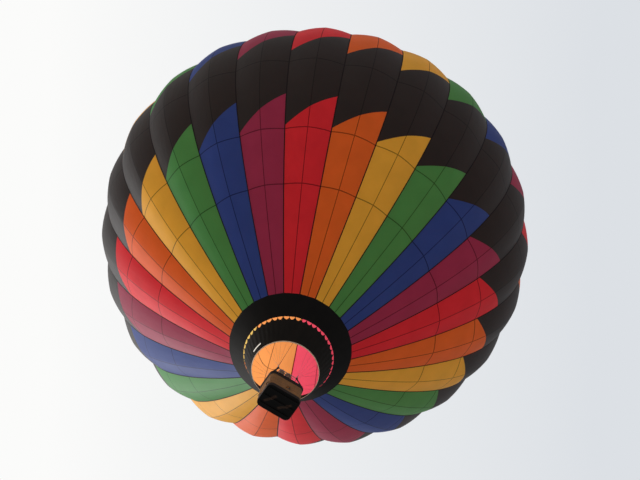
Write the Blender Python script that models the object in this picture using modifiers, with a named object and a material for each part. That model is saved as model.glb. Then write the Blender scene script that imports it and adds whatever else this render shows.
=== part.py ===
# Hot air balloon with a 24-gore envelope, a skirt, a double burner and a wicker basket.
# Metres, +Z up. The origin is the middle of the envelope at its widest level.
# X runs along the basket's long side, and -Y is the side with the basket's near foothold.

import math

import bmesh
import bpy
from mathutils import Vector

# Envelope

GORES = 24
GORE_ANGLE = 2 * math.pi / GORES
CLOTH = 0.010
SEAM_GAP = 0.0004
BAND_GAP = 0.0008
ACROSS = 4
SKIRT_ACROSS = 6

# Levels along a load tape, from the foot of a gore to the vent: height, radius at the tape, and how far the
# cloth stands out between two tapes as a share of the distance between them.
MERIDIAN = (
    # height, radius, bulge
    (-10.24, 2.41, 0.020),
    (-9.19, 3.51, 0.075),
    (-8.06, 4.60, 0.110),
    (-7.00, 5.54, 0.135),
    (-5.92, 6.40, 0.140),
    (-4.85, 7.155, 0.140),
    (-3.71, 7.81, 0.140),
    (-2.51, 8.33, 0.140),
    (-1.23, 8.656, 0.140),
    (0.08, 8.745, 0.140),
    (1.38, 8.56, 0.140),
    (2.60, 8.11, 0.140),
    (3.70, 7.47, 0.140),
    (4.68, 6.715, 0.135),
    (5.54, 5.857, 0.125),
    (6.25, 4.90, 0.110),
    (6.80, 3.86, 0.085),
    (7.14, 2.76, 0.050),
)
VENT_RADIUS = 2.66
VENT_HEIGHT = 7.164

# The throat of black heat-proof cloth between the gores and the mouth
MOUTH_HEIGHT = -10.96
MOUTH_RADIUS = 1.76
MOUTH_BULGE = 0.035

# The skirt hangs from the mouth at each tape and at each gore's middle, in scallops between them.
SKIRT_FOOT_HEIGHT = -12.18
SKIRT_FOOT_RADIUS = 1.307
SCALLOP_DEPTH = 0.10
HOOP_TUBE = 0.010

# Rip-free crown: tapes over the vent, and the parachute that closes it from inside
CROWN_LEVELS = (
    # radius, height of the tapes
    (0.16, 7.290),
    (1.08, 7.290),
    (1.90, 7.255),
    (2.6562, 7.1636),
)
TAPE_HALF_WIDTH = 0.020
TAPE_THICK = 0.006
CROWN_RING_RADIUS = 0.135
CROWN_RING_TUBE = 0.012
PARACHUTE_DROP = 0.0145
PARACHUTE_RADIUS = 2.95

# Cloth colours in the order the gores repeat them
GORE_COLOURS = (
    ("plum_cloth", (0.24, 0.035, 0.065)),
    ("red_cloth", (0.55, 0.03, 0.03)),
    ("orange_cloth", (0.62, 0.16, 0.03)),
    ("yellow_cloth", (0.60, 0.33, 0.05)),
    ("green_cloth", (0.10, 0.22, 0.05)),
    ("blue_cloth", (0.04, 0.06, 0.24)),
)

# Basket, measured up from the underside of its runners

GROUND = -14.68
BASKET_LONG = 1.42
BASKET_WIDE = 1.06
BASKET_CORNER = 0.20
RUNNER_HIGH = 0.035
RUNNER_WIDE = 0.07
RUNNER_LONG = 1.26
RUNNER_PLACES = (-0.36, 0.0, 0.36)
FLOOR_THICK = 0.022
WALL_THICK = 0.042
WALL_TOP = 1.06
BAND_HIGH = 0.22
BAND_THICK = 0.008
RIM_TUBE = 0.050
RIM_BAND_HIGH = 0.12
FOOTHOLD_HIGH = 0.47
FOOTHOLD_X = 0.06
FOOTHOLD_SIZE = (0.13, 0.11)
TOUCH = 0.0003
SIX_SIDES = math.cos(math.pi / 6)

# Fuel cylinders
CYLINDER_PROFILE = (
    # radius, height
    (0.0, 0.0),
    (0.105, 0.0),
    (0.110, 0.030),
    (0.140, 0.060),
    (0.142, 0.560),
    (0.120, 0.640),
    (0.070, 0.670),
    (0.095, 0.672),
    (0.095, 0.740),
    (0.040, 0.742),
    (0.040, 0.715),
    (0.0, 0.715),
)
CYLINDER_PLACES = ((-0.505, -0.325), (0.505, -0.325), (-0.505, 0.325), (0.505, 0.325))

# Load frame and burner
FRAME_HEIGHT = -12.75
FRAME_LONG = 0.84
FRAME_WIDE = 0.56
FRAME_TUBE = 0.016
FRAME_CORNER = 0.07
CORNER_BLOCK = (0.070, 0.070, 0.060)
UPRIGHT_TUBE = 0.034
UPRIGHT_FOOT = (0.6366, 0.4566)
KARABINER = (0.056, 0.026, 0.100)
WIRE_TUBE = 0.0025
FERRULE_TUBE = 0.010
FERRULE_LONG = 0.05
RING_LONG = 0.66
RING_WIDE = 0.40
RING_TUBE = 0.0125
PIN_TUBE = 0.010
BURNER_SPREAD = 0.145
CAN_RADIUS = 0.125
CAN_WALL = 0.004
CAN_HEIGHT = 0.32
CAN_LIFT = 0.045
COIL_RADIUS = 0.098
COIL_TUBE = 0.009
COIL_TURNS = 5

# The slack crown line, from inside the mouth to a cleat at the load frame's corner
CORD_TUBE = 0.008
CORD_ROUTE = (
    (-1.7425, -0.010, -10.9584),
    (-1.640, -0.025, -11.180),
    (-1.520, -0.045, -11.440),
    (-1.390, -0.068, -11.830),
    (-1.262, -0.095, -12.220),
    (-1.160, -0.125, -12.540),
    (-1.050, -0.150, -12.785),
    (-0.920, -0.180, -12.950),
    (-0.790, -0.208, -13.035),
    (-0.650, -0.236, -13.045),
    (-0.540, -0.256, -12.985),
    (-0.488, -0.265, -12.880),
    (-0.4640, -0.268, -12.760),
)

for old in list(bpy.data.objects):
    bpy.data.objects.remove(old, do_unlink=True)

balloon = bpy.data.collections.new("hot_air_balloon")
cutters = bpy.data.collections.new("cutters")
bpy.context.scene.collection.children.link(balloon)
bpy.context.scene.collection.children.link(cutters)


def material(name, colour, roughness, metallic=0.0):
    made = bpy.data.materials.new(name)
    made.use_nodes = True
    shader = made.node_tree.nodes["Principled BSDF"]
    shader.inputs["Base Color"].default_value = (*colour, 1.0)
    shader.inputs["Roughness"].default_value = roughness
    shader.inputs["Metallic"].default_value = metallic
    return made


def place(name, data, surface=None, helper=False):
    made = bpy.data.objects.new(name, data)
    (cutters if helper else balloon).objects.link(made)
    if helper:
        made.hide_render = True
        made.display_type = "WIRE"
    if surface:
        data.materials.append(surface)
    return made


def mesh_from(name, points, faces):
    mesh = bpy.data.meshes.new(name)
    mesh.from_pydata(points, [], faces)
    mesh.shade_smooth()
    return mesh


def thicken(made, thickness):
    shell = made.modifiers.new("thickness", "SOLIDIFY")
    shell.thickness = thickness
    shell.offset = -1.0


def join(made, other, operation="UNION"):
    step = made.modifiers.new(other.name, "BOOLEAN")
    step.operation = operation
    step.object = other


def box(name, size, centre, surface=None, helper=False, turn=0.0, bevel=0.0):
    mesh = bpy.data.meshes.new(name)
    shape = bmesh.new()
    bmesh.ops.create_cube(shape, size=1.0)
    bmesh.ops.scale(shape, vec=Vector(size), verts=shape.verts)
    shape.to_mesh(mesh)
    shape.free()
    made = place(name, mesh, surface, helper)
    made.location = centre
    made.rotation_euler.z = turn
    if bevel:
        edge = made.modifiers.new("rounded edges", "BEVEL")
        edge.width = bevel
        edge.segments = 1
    return made


def rod(name, radius, length, centre, turn, helper=True, surface=None, sides=16):
    mesh = bpy.data.meshes.new(name)
    shape = bmesh.new()
    bmesh.ops.create_cone(shape, cap_ends=True, segments=sides, radius1=radius, radius2=radius, depth=length)
    shape.to_mesh(mesh)
    shape.free()
    made = place(name, mesh, surface, helper)
    made.location = centre
    made.rotation_euler = turn
    return made


def turned(name, profile, surface, centre, sides=24, wall=0.0):
    mesh = bpy.data.meshes.new(name)
    mesh.from_pydata([(r, 0.0, z) for r, z in profile], [(i, i + 1) for i in range(len(profile) - 1)], [])
    made = place(name, mesh, surface)
    made.location = centre
    spin = made.modifiers.new("turn", "SCREW")
    spin.steps = spin.render_steps = sides
    spin.use_merge_vertices = True
    spin.merge_threshold = 0.0001
    spin.use_smooth_shade = True
    if wall:
        thicken(made, wall)
    return made


def rounded_rectangle(long, wide, corner, steps=5):
    points = []
    for index, (sx, sy) in enumerate(((1, 1), (-1, 1), (-1, -1), (1, -1))):
        for step in range(steps + 1):
            angle = math.pi / 2 * (index + step / steps)
            points.append((sx * (long / 2 - corner) + corner * math.cos(angle),
                           sy * (wide / 2 - corner) + corner * math.sin(angle)))
    return points


def tube(name, points, radius, surface=None, closed=False, resolution=2, widths=None, helper=False):
    curve = bpy.data.curves.new(name, "CURVE")
    curve.dimensions = "3D"
    curve.bevel_depth = radius
    curve.bevel_resolution = resolution
    curve.use_fill_caps = not closed
    line = curve.splines.new("POLY")
    line.points.add(len(points) - 1)
    for index, point in enumerate(points):
        line.points[index].co = (*point, 1.0)
        if widths:
            line.points[index].radius = widths[index]
    line.use_cyclic_u = closed
    return place(name, curve, surface, helper)


def solid_of(name, made, surface=None, helper=False):
    # A curve as a welded mesh, so that it can be joined and cut
    bpy.context.view_layer.update()
    mesh = bpy.data.meshes.new_from_object(made.evaluated_get(bpy.context.evaluated_depsgraph_get()))
    matrix = made.matrix_world.copy()
    curve = made.data
    bpy.data.objects.remove(made)
    bpy.data.curves.remove(curve)
    shape = bmesh.new()
    shape.from_mesh(mesh)
    bmesh.ops.remove_doubles(shape, verts=shape.verts, dist=0.00002)
    bmesh.ops.recalc_face_normals(shape, faces=shape.faces)
    shape.to_mesh(mesh)
    shape.free()
    mesh.materials.clear()
    solid = place(name, mesh, surface, helper)
    solid.matrix_world = matrix
    return solid


def plate(name, outlines, low, high, surface=None):
    # A flat outline, or an outline with another inside it, raised from one height to another
    curve = bpy.data.curves.new(name, "CURVE")
    curve.dimensions = "2D"
    curve.fill_mode = "BOTH"
    curve.extrude = (high - low) / 2
    for outline in outlines:
        line = curve.splines.new("POLY")
        line.points.add(len(outline) - 1)
        for index, (x, y) in enumerate(outline):
            line.points[index].co = (x, y, 0.0, 1.0)
        line.use_cyclic_u = True
    made = place(name, curve, None)
    made.location.z = (low + high) / 2
    return solid_of(name, made, surface)


# Cloth between two tapes

def slopes(levels):
    # The cloth's outward direction at each level, as (out, up)
    found = []
    for index in range(len(levels)):
        before = levels[max(index - 1, 0)]
        after = levels[min(index + 1, len(levels) - 1)]
        rise = after[0] - before[0]
        out = after[1] - before[1]
        size = math.hypot(rise, out)
        found.append((rise / size, -out / size))
    return found


def gore_point(level, slope, share, gap=0.0):
    # A point of a gore that faces +X: share runs from -1 at one tape to 1 at the next
    height, radius, bulge = level
    half = radius * math.sin(GORE_ANGLE / 2)
    rise = bulge * 2 * half
    curve_radius = (half * half + rise * rise) / (2 * rise)
    side = half * share
    lift = math.sqrt(curve_radius ** 2 - side ** 2) - (curve_radius - rise)
    lift = lift if abs(share) < 1 else 0.0
    side = side - math.copysign(gap, share) if abs(share) == 1 else side
    return Vector((radius * math.cos(GORE_ANGLE / 2) + lift * slope[0], side, height + lift * slope[1]))


def turned_about(point, angle):
    return (point.x * math.cos(angle) - point.y * math.sin(angle),
            point.x * math.sin(angle) + point.y * math.cos(angle), point.z)


def gore_azimuth(number):
    return math.radians(120) + GORE_ANGLE * number


def make_gores():
    cloths = [material(name, colour, 0.6) for name, colour in GORE_COLOURS]
    directions = slopes(MERIDIAN)
    row = ACROSS + 1
    points = []
    for level, slope in zip(MERIDIAN, directions):
        for step in range(row):
            points.append(gore_point(level, slope, -1 + 2 * step / ACROSS, SEAM_GAP / 2))
    faces = []
    for up in range(len(MERIDIAN) - 1):
        for step in range(ACROSS):
            corner = up * row + step
            faces.append((corner, corner + 1, corner + row + 1, corner + row))
    mesh = mesh_from("gore", points, faces)
    mesh.materials.append(cloths[0])
    for number in range(1, GORES + 1):
        gore = place(f"gore_{number:02d}", mesh)
        gore.rotation_euler.z = gore_azimuth(number)
        gore.material_slots[0].link = "OBJECT"
        gore.material_slots[0].material = cloths[(number - 1) % len(cloths)]
        thicken(gore, CLOTH)


def make_band(name, levels, directions, surface):
    # A ring of cloth that all the tapes cross
    points = []
    for level, slope in zip(levels, directions):
        for number in range(GORES):
            for step in range(ACROSS):
                share = -1 + 2 * step / ACROSS
                points.append(turned_about(gore_point(level, slope, share), gore_azimuth(number)))
    ring = GORES * ACROSS
    faces = []
    for up in range(len(levels) - 1):
        for step in range(ring):
            after = (step + 1) % ring
            faces.append((up * ring + step, up * ring + after, (up + 1) * ring + after, (up + 1) * ring + step))
    band = place(name, mesh_from(name, points, faces), surface)
    thicken(band, CLOTH)
    return band


def inset(level, slope, distance):
    # The same level moved along the tape, up for a positive distance
    return (level[0] + slope[0] * distance, level[1] - slope[1] * distance, level[2])


def make_throat():
    black = material("heatproof_cloth", (0.016, 0.014, 0.013), 0.75)
    foot = (MOUTH_HEIGHT, MOUTH_RADIUS, MOUTH_BULGE)
    direction = slopes((foot, MERIDIAN[0]))
    top = inset(MERIDIAN[0], slopes(MERIDIAN)[0], -BAND_GAP)
    make_band("throat", (foot, top), (direction[0], slopes(MERIDIAN)[0]), black)


def make_vent_rim():
    tape = material("vent_rim_tape", (0.02, 0.02, 0.022), 0.7)
    edge = MERIDIAN[-1]
    direction = slopes(MERIDIAN)[-1]
    foot = inset(edge, direction, BAND_GAP)
    make_band("vent_rim", (foot, (VENT_HEIGHT, VENT_RADIUS, edge[2])), (direction, direction), tape)


def make_skirt():
    cloth = material("skirt_cloth", (0.022, 0.019, 0.018), 0.75)
    mouth = (MOUTH_HEIGHT, MOUTH_RADIUS, MOUTH_BULGE)
    slope = slopes((mouth, MERIDIAN[0]))[0]
    ring = GORES * SKIRT_ACROSS
    top = []
    foot = []
    for number in range(GORES):
        for step in range(SKIRT_ACROSS):
            share = -1 + 2 * step / SKIRT_ACROSS
            hung = step % (SKIRT_ACROSS // 2) == 0
            x, y, z = turned_about(gore_point(mouth, slope, share), gore_azimuth(number))
            angle = math.atan2(y, x)
            drop = SEAM_GAP if hung else SCALLOP_DEPTH
            reach = math.hypot(x, y)
            share_down = drop / (MOUTH_HEIGHT - SKIRT_FOOT_HEIGHT)
            reach += (SKIRT_FOOT_RADIUS - reach) * share_down
            top.append((reach * math.cos(angle), reach * math.sin(angle), z - drop))
            foot.append((SKIRT_FOOT_RADIUS * math.cos(angle), SKIRT_FOOT_RADIUS * math.sin(angle), SKIRT_FOOT_HEIGHT))
    faces = []
    for step in range(ring):
        after = (step + 1) % ring
        faces.append((step, after, ring + after, ring + step))
    skirt = place("skirt", mesh_from("skirt", foot + top, faces), cloth)
    thicken(skirt, CLOTH)

    hem = material("hoop_sleeve", (0.45, 0.38, 0.30), 0.7)
    hoop_ring = []
    for step in range(ring // 3):
        x, y, _ = foot[step * 3]
        angle = math.atan2(y, x)
        reach = SKIRT_FOOT_RADIUS - CLOTH / 2
        hoop_ring.append((reach * math.cos(angle), reach * math.sin(angle), SKIRT_FOOT_HEIGHT - HOOP_TUBE * SIX_SIDES - TOUCH))
    tube("skirt_hoop", hoop_ring, HOOP_TUBE, hem, closed=True, resolution=1)


def make_crown():
    webbing = material("tape_webbing", (0.02, 0.02, 0.022), 0.7)
    row = 2 * GORES
    points = []
    for radius, height in CROWN_LEVELS:
        spread = math.asin(TAPE_HALF_WIDTH / radius)
        for number in range(GORES):
            middle = gore_azimuth(number) + GORE_ANGLE / 2
            for side in (-spread, spread):
                points.append((radius * math.cos(middle + side), radius * math.sin(middle + side), height))
    hub = len(points)
    inner = CROWN_RING_RADIUS - 0.03
    for number in range(GORES):
        middle = gore_azimuth(number) + GORE_ANGLE / 2
        for side in (-0.05, 0.05):
            points.append((inner * math.cos(middle + side), inner * math.sin(middle + side), CROWN_LEVELS[0][1]))
    faces = []
    for step in range(row):
        after = (step + 1) % row
        faces.append((hub + after, hub + step, step, after))
    for up in range(len(CROWN_LEVELS) - 1):
        for number in range(GORES):
            left = up * row + 2 * number
            faces.append((left + 1, left, left + row, left + row + 1))
    tapes = place("crown_tapes", mesh_from("crown_tapes", points, faces), webbing)
    thicken(tapes, TAPE_THICK)

    metal = material("crown_ring_metal", (0.55, 0.56, 0.58), 0.35, 0.9)
    ring = [(CROWN_RING_RADIUS * math.cos(2 * math.pi * i / 24), CROWN_RING_RADIUS * math.sin(2 * math.pi * i / 24),
             CROWN_LEVELS[0][1] + CROWN_RING_TUBE * SIX_SIDES + TOUCH) for i in range(24)]
    tube("crown_ring", ring, CROWN_RING_TUBE, metal, closed=True, resolution=1)

    cloth = material("parachute_cloth", (0.03, 0.03, 0.035), 0.6)
    outline = [(PARACHUTE_RADIUS, MERIDIAN[-1][0] - (PARACHUTE_RADIUS - MERIDIAN[-1][1]) * 0.309 - PARACHUTE_DROP)]
    outline += [(radius, height - PARACHUTE_DROP) for radius, height in reversed(CROWN_LEVELS)]
    outline[-1] = (0.0, CROWN_LEVELS[0][1] - PARACHUTE_DROP)
    turned("parachute_valve", [(r, z) for r, z in reversed(outline)], cloth, (0, 0, 0), 36, CLOTH)


# Basket

def make_basket():
    leather = material("suede_leather", (0.045, 0.030, 0.024), 0.7)
    wicker = material("wicker", (0.13, 0.075, 0.035), 0.75)
    boards = material("plywood_floor", (0.22, 0.14, 0.08), 0.6)
    wood = material("runner_wood", (0.10, 0.06, 0.035), 0.7)
    floor_low = GROUND + RUNNER_HIGH + TOUCH
    floor_high = floor_low + FLOOR_THICK
    wall_high = GROUND + WALL_TOP
    outer = rounded_rectangle(BASKET_LONG, BASKET_WIDE, BASKET_CORNER)
    inner = rounded_rectangle(BASKET_LONG - 2 * WALL_THICK, BASKET_WIDE - 2 * WALL_THICK, BASKET_CORNER - WALL_THICK)

    for number, y in enumerate(RUNNER_PLACES, 1):
        box(f"runner_{number}", (RUNNER_LONG, RUNNER_WIDE, RUNNER_HIGH),
            (0, y, GROUND + RUNNER_HIGH / 2), wood)
    plate("basket_floor", [outer], floor_low, floor_high, boards)
    wall = plate("basket_wall", [outer, inner], floor_high + TOUCH, wall_high, wicker)
    for name, x, y in (("near_foothold", FOOTHOLD_X, -1), ("far_foothold", -FOOTHOLD_X, 1)):
        hole = box(name, (FOOTHOLD_SIZE[0], 4 * WALL_THICK, FOOTHOLD_SIZE[1]),
                   (x, y * (BASKET_WIDE - WALL_THICK) / 2, GROUND + FOOTHOLD_HIGH), helper=True)
        join(wall, hole, "DIFFERENCE")

    grow = TOUCH + BAND_THICK
    band_outer = rounded_rectangle(BASKET_LONG + 2 * grow, BASKET_WIDE + 2 * grow, BASKET_CORNER + grow)
    band_inner = rounded_rectangle(BASKET_LONG + 2 * TOUCH, BASKET_WIDE + 2 * TOUCH, BASKET_CORNER + TOUCH)
    plate("foot_band", [band_outer, band_inner], floor_low, GROUND + BAND_HIGH, leather)
    plate("rim_band", [band_outer, band_inner], wall_high - RIM_BAND_HIGH, wall_high, leather)

    middle = rounded_rectangle(BASKET_LONG - WALL_THICK, BASKET_WIDE - WALL_THICK, BASKET_CORNER - WALL_THICK / 2)
    rim_height = wall_high + TOUCH + RIM_TUBE
    tube("rim_pad", [(x, y, rim_height) for x, y in middle], RIM_TUBE, leather, closed=True, resolution=2)

    jacket = material("cylinder_jacket", (0.10, 0.11, 0.13), 0.6)
    for number, (x, y) in enumerate(CYLINDER_PLACES, 1):
        turned(f"fuel_cylinder_{number}", CYLINDER_PROFILE[::-1], jacket, (x, y, floor_high + TOUCH), 14)
    return rim_height + RIM_TUBE


# Load frame, uprights, gimbal and burner

def make_frame(rim_top):
    steel = material("frame_steel", (0.42, 0.43, 0.45), 0.35, 0.9)
    cover = material("upright_cover", (0.05, 0.035, 0.03), 0.75)
    path = [(x, y, FRAME_HEIGHT) for x, y in rounded_rectangle(FRAME_LONG, FRAME_WIDE, FRAME_CORNER, 3)]
    frame = solid_of("load_frame", tube("load_frame_tube", path, FRAME_TUBE, None, closed=True), steel)
    pad_face = FRAME_LONG / 2 - FRAME_TUBE - 0.010
    for side in (-1, 1):
        pad = box(f"pivot_pad_{side}", (0.030, 0.050, 0.050), (side * (pad_face + 0.015), 0, FRAME_HEIGHT), helper=True)
        join(frame, pad)
    for number, (sx, sy) in enumerate(((-1, -1), (1, -1), (-1, 1), (1, 1)), 1):
        centre = (sx * FRAME_LONG / 2, sy * FRAME_WIDE / 2, FRAME_HEIGHT)
        block = box(f"corner_block_{number}", CORNER_BLOCK, centre, helper=True)
        join(frame, block)
        foot = Vector((sx * UPRIGHT_FOOT[0], sy * UPRIGHT_FOOT[1], rim_top + TOUCH))
        head = Vector((centre[0], centre[1], FRAME_HEIGHT - CORNER_BLOCK[2] / 2 - 0.0008))
        make_upright(f"upright_{number}", foot, head, cover)
        make_stays(f"stay_wires_{number}", sx, sy, centre)
    return pad_face


def make_upright(name, foot, head, surface):
    # The covered pole leans in towards the load frame, and its ends are cut level.
    mesh = bpy.data.meshes.new(name)
    shape = bmesh.new()
    bmesh.ops.create_cone(shape, cap_ends=True, segments=12, radius1=UPRIGHT_TUBE, radius2=UPRIGHT_TUBE * 0.85,
                          depth=head.z - foot.z)
    lean = (head - foot) / (head.z - foot.z)
    for vertex in shape.verts:
        vertex.co.x += vertex.co.z * lean.x
        vertex.co.y += vertex.co.z * lean.y
    shape.to_mesh(mesh)
    shape.free()
    made = place(name, mesh, surface)
    made.location = (foot + head) / 2


def make_stays(name, sx, sy, corner):
    # Six wires from a corner's karabiner to the tapes at the mouth
    steel = material(name, (0.45, 0.46, 0.48), 0.35, 0.9)
    low = Vector((corner[0], corner[1], FRAME_HEIGHT + CORNER_BLOCK[2] / 2 + TOUCH))
    gather = low + Vector((0, 0, KARABINER[2] * 0.35))
    karabiner = box(name, KARABINER, low + Vector((0, 0, KARABINER[2] / 2)), steel, turn=math.atan2(sy, sx) + math.pi / 2)
    middle = math.atan2(sy, sx)
    foot = (MOUTH_HEIGHT, MOUTH_RADIUS, MOUTH_BULGE)
    slope = slopes((foot, MERIDIAN[0]))[0]
    climb = Vector((-slope[1], 0, slope[0]))
    for step in range(6):
        tape = middle + GORE_ANGLE * (step - 2.5)
        inner = Vector((MOUTH_RADIUS, 0, MOUTH_HEIGHT)) + climb * 0.06 - Vector((slope[0], 0, slope[1])) * CLOTH
        end = inner - Vector((slope[0], 0, slope[1])) * (FERRULE_TUBE + 0.0048)
        end = Vector(turned_about(end, tape))
        along = (end - gather).normalized()
        route = (gather, end - along * (FERRULE_LONG + 0.01), end - along * FERRULE_LONG, end)
        widths = (1.0, 1.0, FERRULE_TUBE / WIRE_TUBE, FERRULE_TUBE / WIRE_TUBE)
        wire = tube(f"{name}_wire_{step}_line", route, WIRE_TUBE, None, resolution=1, widths=widths, helper=True)
        join(karabiner, solid_of(f"{name}_wire_{step}", wire, helper=True))


def make_burner(pad_face):
    steel = material("burner_steel", (0.50, 0.51, 0.52), 0.3, 0.95)
    frame = material("gimbal_steel", (0.42, 0.43, 0.45), 0.35, 0.9)
    path = [(x, y, FRAME_HEIGHT) for x, y in rounded_rectangle(RING_LONG, RING_WIDE, 0.06, 3)]
    ring = solid_of("gimbal_ring", tube("gimbal_ring_tube", path, RING_TUBE, None, closed=True), frame)
    ring_pad = RING_WIDE / 2 - RING_TUBE - 0.008
    for side in (-1, 1):
        reach = pad_face - 0.0005
        start = RING_LONG / 2
        pin = rod(f"ring_pin_{side}", PIN_TUBE, reach - start, (side * (reach + start) / 2, 0, FRAME_HEIGHT),
                  (0, math.pi / 2, 0))
        join(ring, pin)
        pad = box(f"ring_pad_{side}", (0.040, 0.030, 0.040), (0, side * (ring_pad + 0.015), FRAME_HEIGHT), helper=True)
        join(ring, pad)

    block_top = FRAME_HEIGHT + CAN_LIFT - TOUCH
    block = box("burner_block", (0.46, 0.10, 0.045), (0, 0, block_top - 0.0225), steel)
    for side in (-1, 1):
        reach = ring_pad - 0.0005
        pin = rod(f"block_pin_{side}", PIN_TUBE, reach - 0.03, (0, side * (reach + 0.03) / 2, FRAME_HEIGHT),
                  (math.pi / 2, 0, 0))
        join(block, pin)
    web = box("block_web", (0.06, 0.08, 0.06), (0, 0, FRAME_HEIGHT), helper=True)
    join(block, web)
    for side in (-1, 1):
        valve = rod(f"blast_valve_{side}", 0.022, 0.09, (side * BURNER_SPREAD, 0, FRAME_HEIGHT - 0.02), (0, 0, 0))
        join(block, valve)
        handle = rod(f"blast_handle_{side}", 0.009, 0.16, (side * BURNER_SPREAD, -0.07, FRAME_HEIGHT - 0.045),
                     (math.pi / 2, 0, 0), sides=8)
        join(block, handle)

    can_low = FRAME_HEIGHT + CAN_LIFT
    for number, side in enumerate((-1, 1), 1):
        profile = ((0.0, 0.0), (CAN_RADIUS, 0.0), (CAN_RADIUS, CAN_HEIGHT), (CAN_RADIUS - CAN_WALL, CAN_HEIGHT),
                   (CAN_RADIUS - CAN_WALL, CAN_WALL), (0.0, CAN_WALL))
        turned(f"burner_can_{number}", profile[::-1], steel, (side * BURNER_SPREAD, 0, can_low), 24)
        coil = []
        pitch = 2 * COIL_TUBE + 0.024
        for turn in range(COIL_TURNS):
            coil.append((COIL_RADIUS + COIL_TUBE, turn * pitch + 0.002))
            coil.append((COIL_RADIUS + COIL_TUBE, turn * pitch + 2 * COIL_TUBE))
            coil.append((COIL_RADIUS, turn * pitch + 2 * COIL_TUBE + 0.012))
        inner_side = [(COIL_RADIUS - COIL_TUBE, COIL_TURNS * pitch - 0.012), (COIL_RADIUS - COIL_TUBE, 0.0)]
        profile = [(COIL_RADIUS, 0.0)] + coil + inner_side + [(COIL_RADIUS, 0.0)]
        turned(f"burner_coil_{number}", profile[::-1], steel,
               (side * BURNER_SPREAD, 0, can_low + CAN_WALL + TOUCH), 14)


def smooth_route(route, spacing):
    # A Catmull-Rom curve through the route's points
    points = [Vector(point) for point in route]
    points = [2 * points[0] - points[1]] + points + [2 * points[-1] - points[-2]]
    found = []
    for index in range(1, len(points) - 2):
        a, b, c, d = points[index - 1:index + 3]
        count = max(2, round((c - b).length / spacing))
        for step in range(count):
            t = step / count
            found.append(0.5 * ((2 * b) + (c - a) * t + (2 * a - 5 * b + 4 * c - d) * t * t
                                + (3 * b - a - 3 * c + d) * t ** 3))
    found.append(points[-2])
    return found


def make_crown_line():
    rope = material("crown_line_rope", (0.10, 0.06, 0.04), 0.8)
    tube("crown_line", smooth_route(CORD_ROUTE, 0.07), CORD_TUBE, rope, resolution=2)


make_gores()
make_throat()
make_vent_rim()
make_skirt()
make_crown()
pivot_face = make_frame(make_basket())
make_burner(pivot_face)
make_crown_line()
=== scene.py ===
from math import atan2, ceil, copysign, cos, exp, floor, hypot, pi, radians, sin, sqrt

import bmesh
import bpy
from mathutils import Matrix, Vector


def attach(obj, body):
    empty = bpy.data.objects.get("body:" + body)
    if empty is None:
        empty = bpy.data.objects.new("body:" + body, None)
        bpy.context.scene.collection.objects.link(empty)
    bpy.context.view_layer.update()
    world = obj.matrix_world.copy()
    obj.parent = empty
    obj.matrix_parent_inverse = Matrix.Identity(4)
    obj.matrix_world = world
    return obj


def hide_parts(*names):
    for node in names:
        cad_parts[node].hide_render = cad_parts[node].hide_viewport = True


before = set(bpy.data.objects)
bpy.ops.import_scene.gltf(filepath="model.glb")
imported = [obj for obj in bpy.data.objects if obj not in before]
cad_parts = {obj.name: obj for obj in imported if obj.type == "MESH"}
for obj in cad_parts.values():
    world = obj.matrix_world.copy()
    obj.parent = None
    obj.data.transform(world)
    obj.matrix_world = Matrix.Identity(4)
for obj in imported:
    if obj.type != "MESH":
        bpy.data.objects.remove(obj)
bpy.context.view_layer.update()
scene = bpy.context.scene

# Camera: it stands at floor level, 126 m from the balloon, and looks up at it through a long lens. It is
# rolled a little about its line of sight.

EYE = (-19.6533, -52.7169, -113.5895)
LENS = 169.7
ROLL = -0.211435
look = Vector((0.15737226, 0.41656617, 0.8953807))
level_right = look.cross(Vector((0, 0, 1))).normalized()
level_up = level_right.cross(look)
picture_right = (level_right * cos(ROLL) - level_up * sin(ROLL)).normalized()

eye = bpy.data.objects.new("camera", bpy.data.cameras.new("camera"))
scene.collection.objects.link(eye)
scene.camera = eye
eye.data.lens = LENS
eye.data.clip_start = 1.0
eye.data.clip_end = 2000.0
eye.matrix_world = Matrix.Translation(EYE) @ Matrix(
    (picture_right, picture_right.cross(look), -look)).transposed().to_4x4()

# Crown line: a braided polyester rope, 16 mm thick. It comes out of the envelope's mouth, hangs slack
# past the skirt and is cleated to the load frame's corner.

ROPE = 0.016
CROWN_ROUTE = (
    (-1.7425, -0.010, -10.9584), (-1.640, -0.025, -11.180), (-1.520, -0.045, -11.440),
    (-1.390, -0.068, -11.830), (-1.262, -0.095, -12.220), (-1.160, -0.125, -12.540),
    (-1.050, -0.150, -12.785), (-0.920, -0.180, -12.950), (-0.790, -0.208, -13.035),
    (-0.650, -0.236, -13.045), (-0.540, -0.256, -12.985), (-0.488, -0.265, -12.880),
    (-0.4640, -0.268, -12.760))


def srgb(code):
    # A colour given as an sRGB hex value, as the linear colour that a shader takes
    parts = [int(code[i:i + 2], 16) / 255 for i in (1, 3, 5)]
    return (*[c / 12.92 if c <= 0.04045 else ((c + 0.055) / 1.055) ** 2.4 for c in parts], 1.0)


def first_output(node):
    return next(socket for socket in node.outputs if socket.enabled)


def add(tree, kind, given=None, into=None, **settings):
    # Adds one node with its settings, fills or links its inputs, and links it into a socket. The kind is
    # Blender's name without ShaderNode. A node that is given as an input stands for its first output.
    made = tree.nodes.new("ShaderNode" + kind)
    for name, value in settings.items():
        setattr(made, name, value)
    for name, value in (given or {}).items():
        value = first_output(value) if isinstance(value, bpy.types.Node) else value
        if isinstance(value, bpy.types.NodeSocket):
            tree.links.new(value, made.inputs[name])
        else:
            made.inputs[name].default_value = value
    if into:
        tree.links.new(first_output(made), into)
    return made


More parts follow.
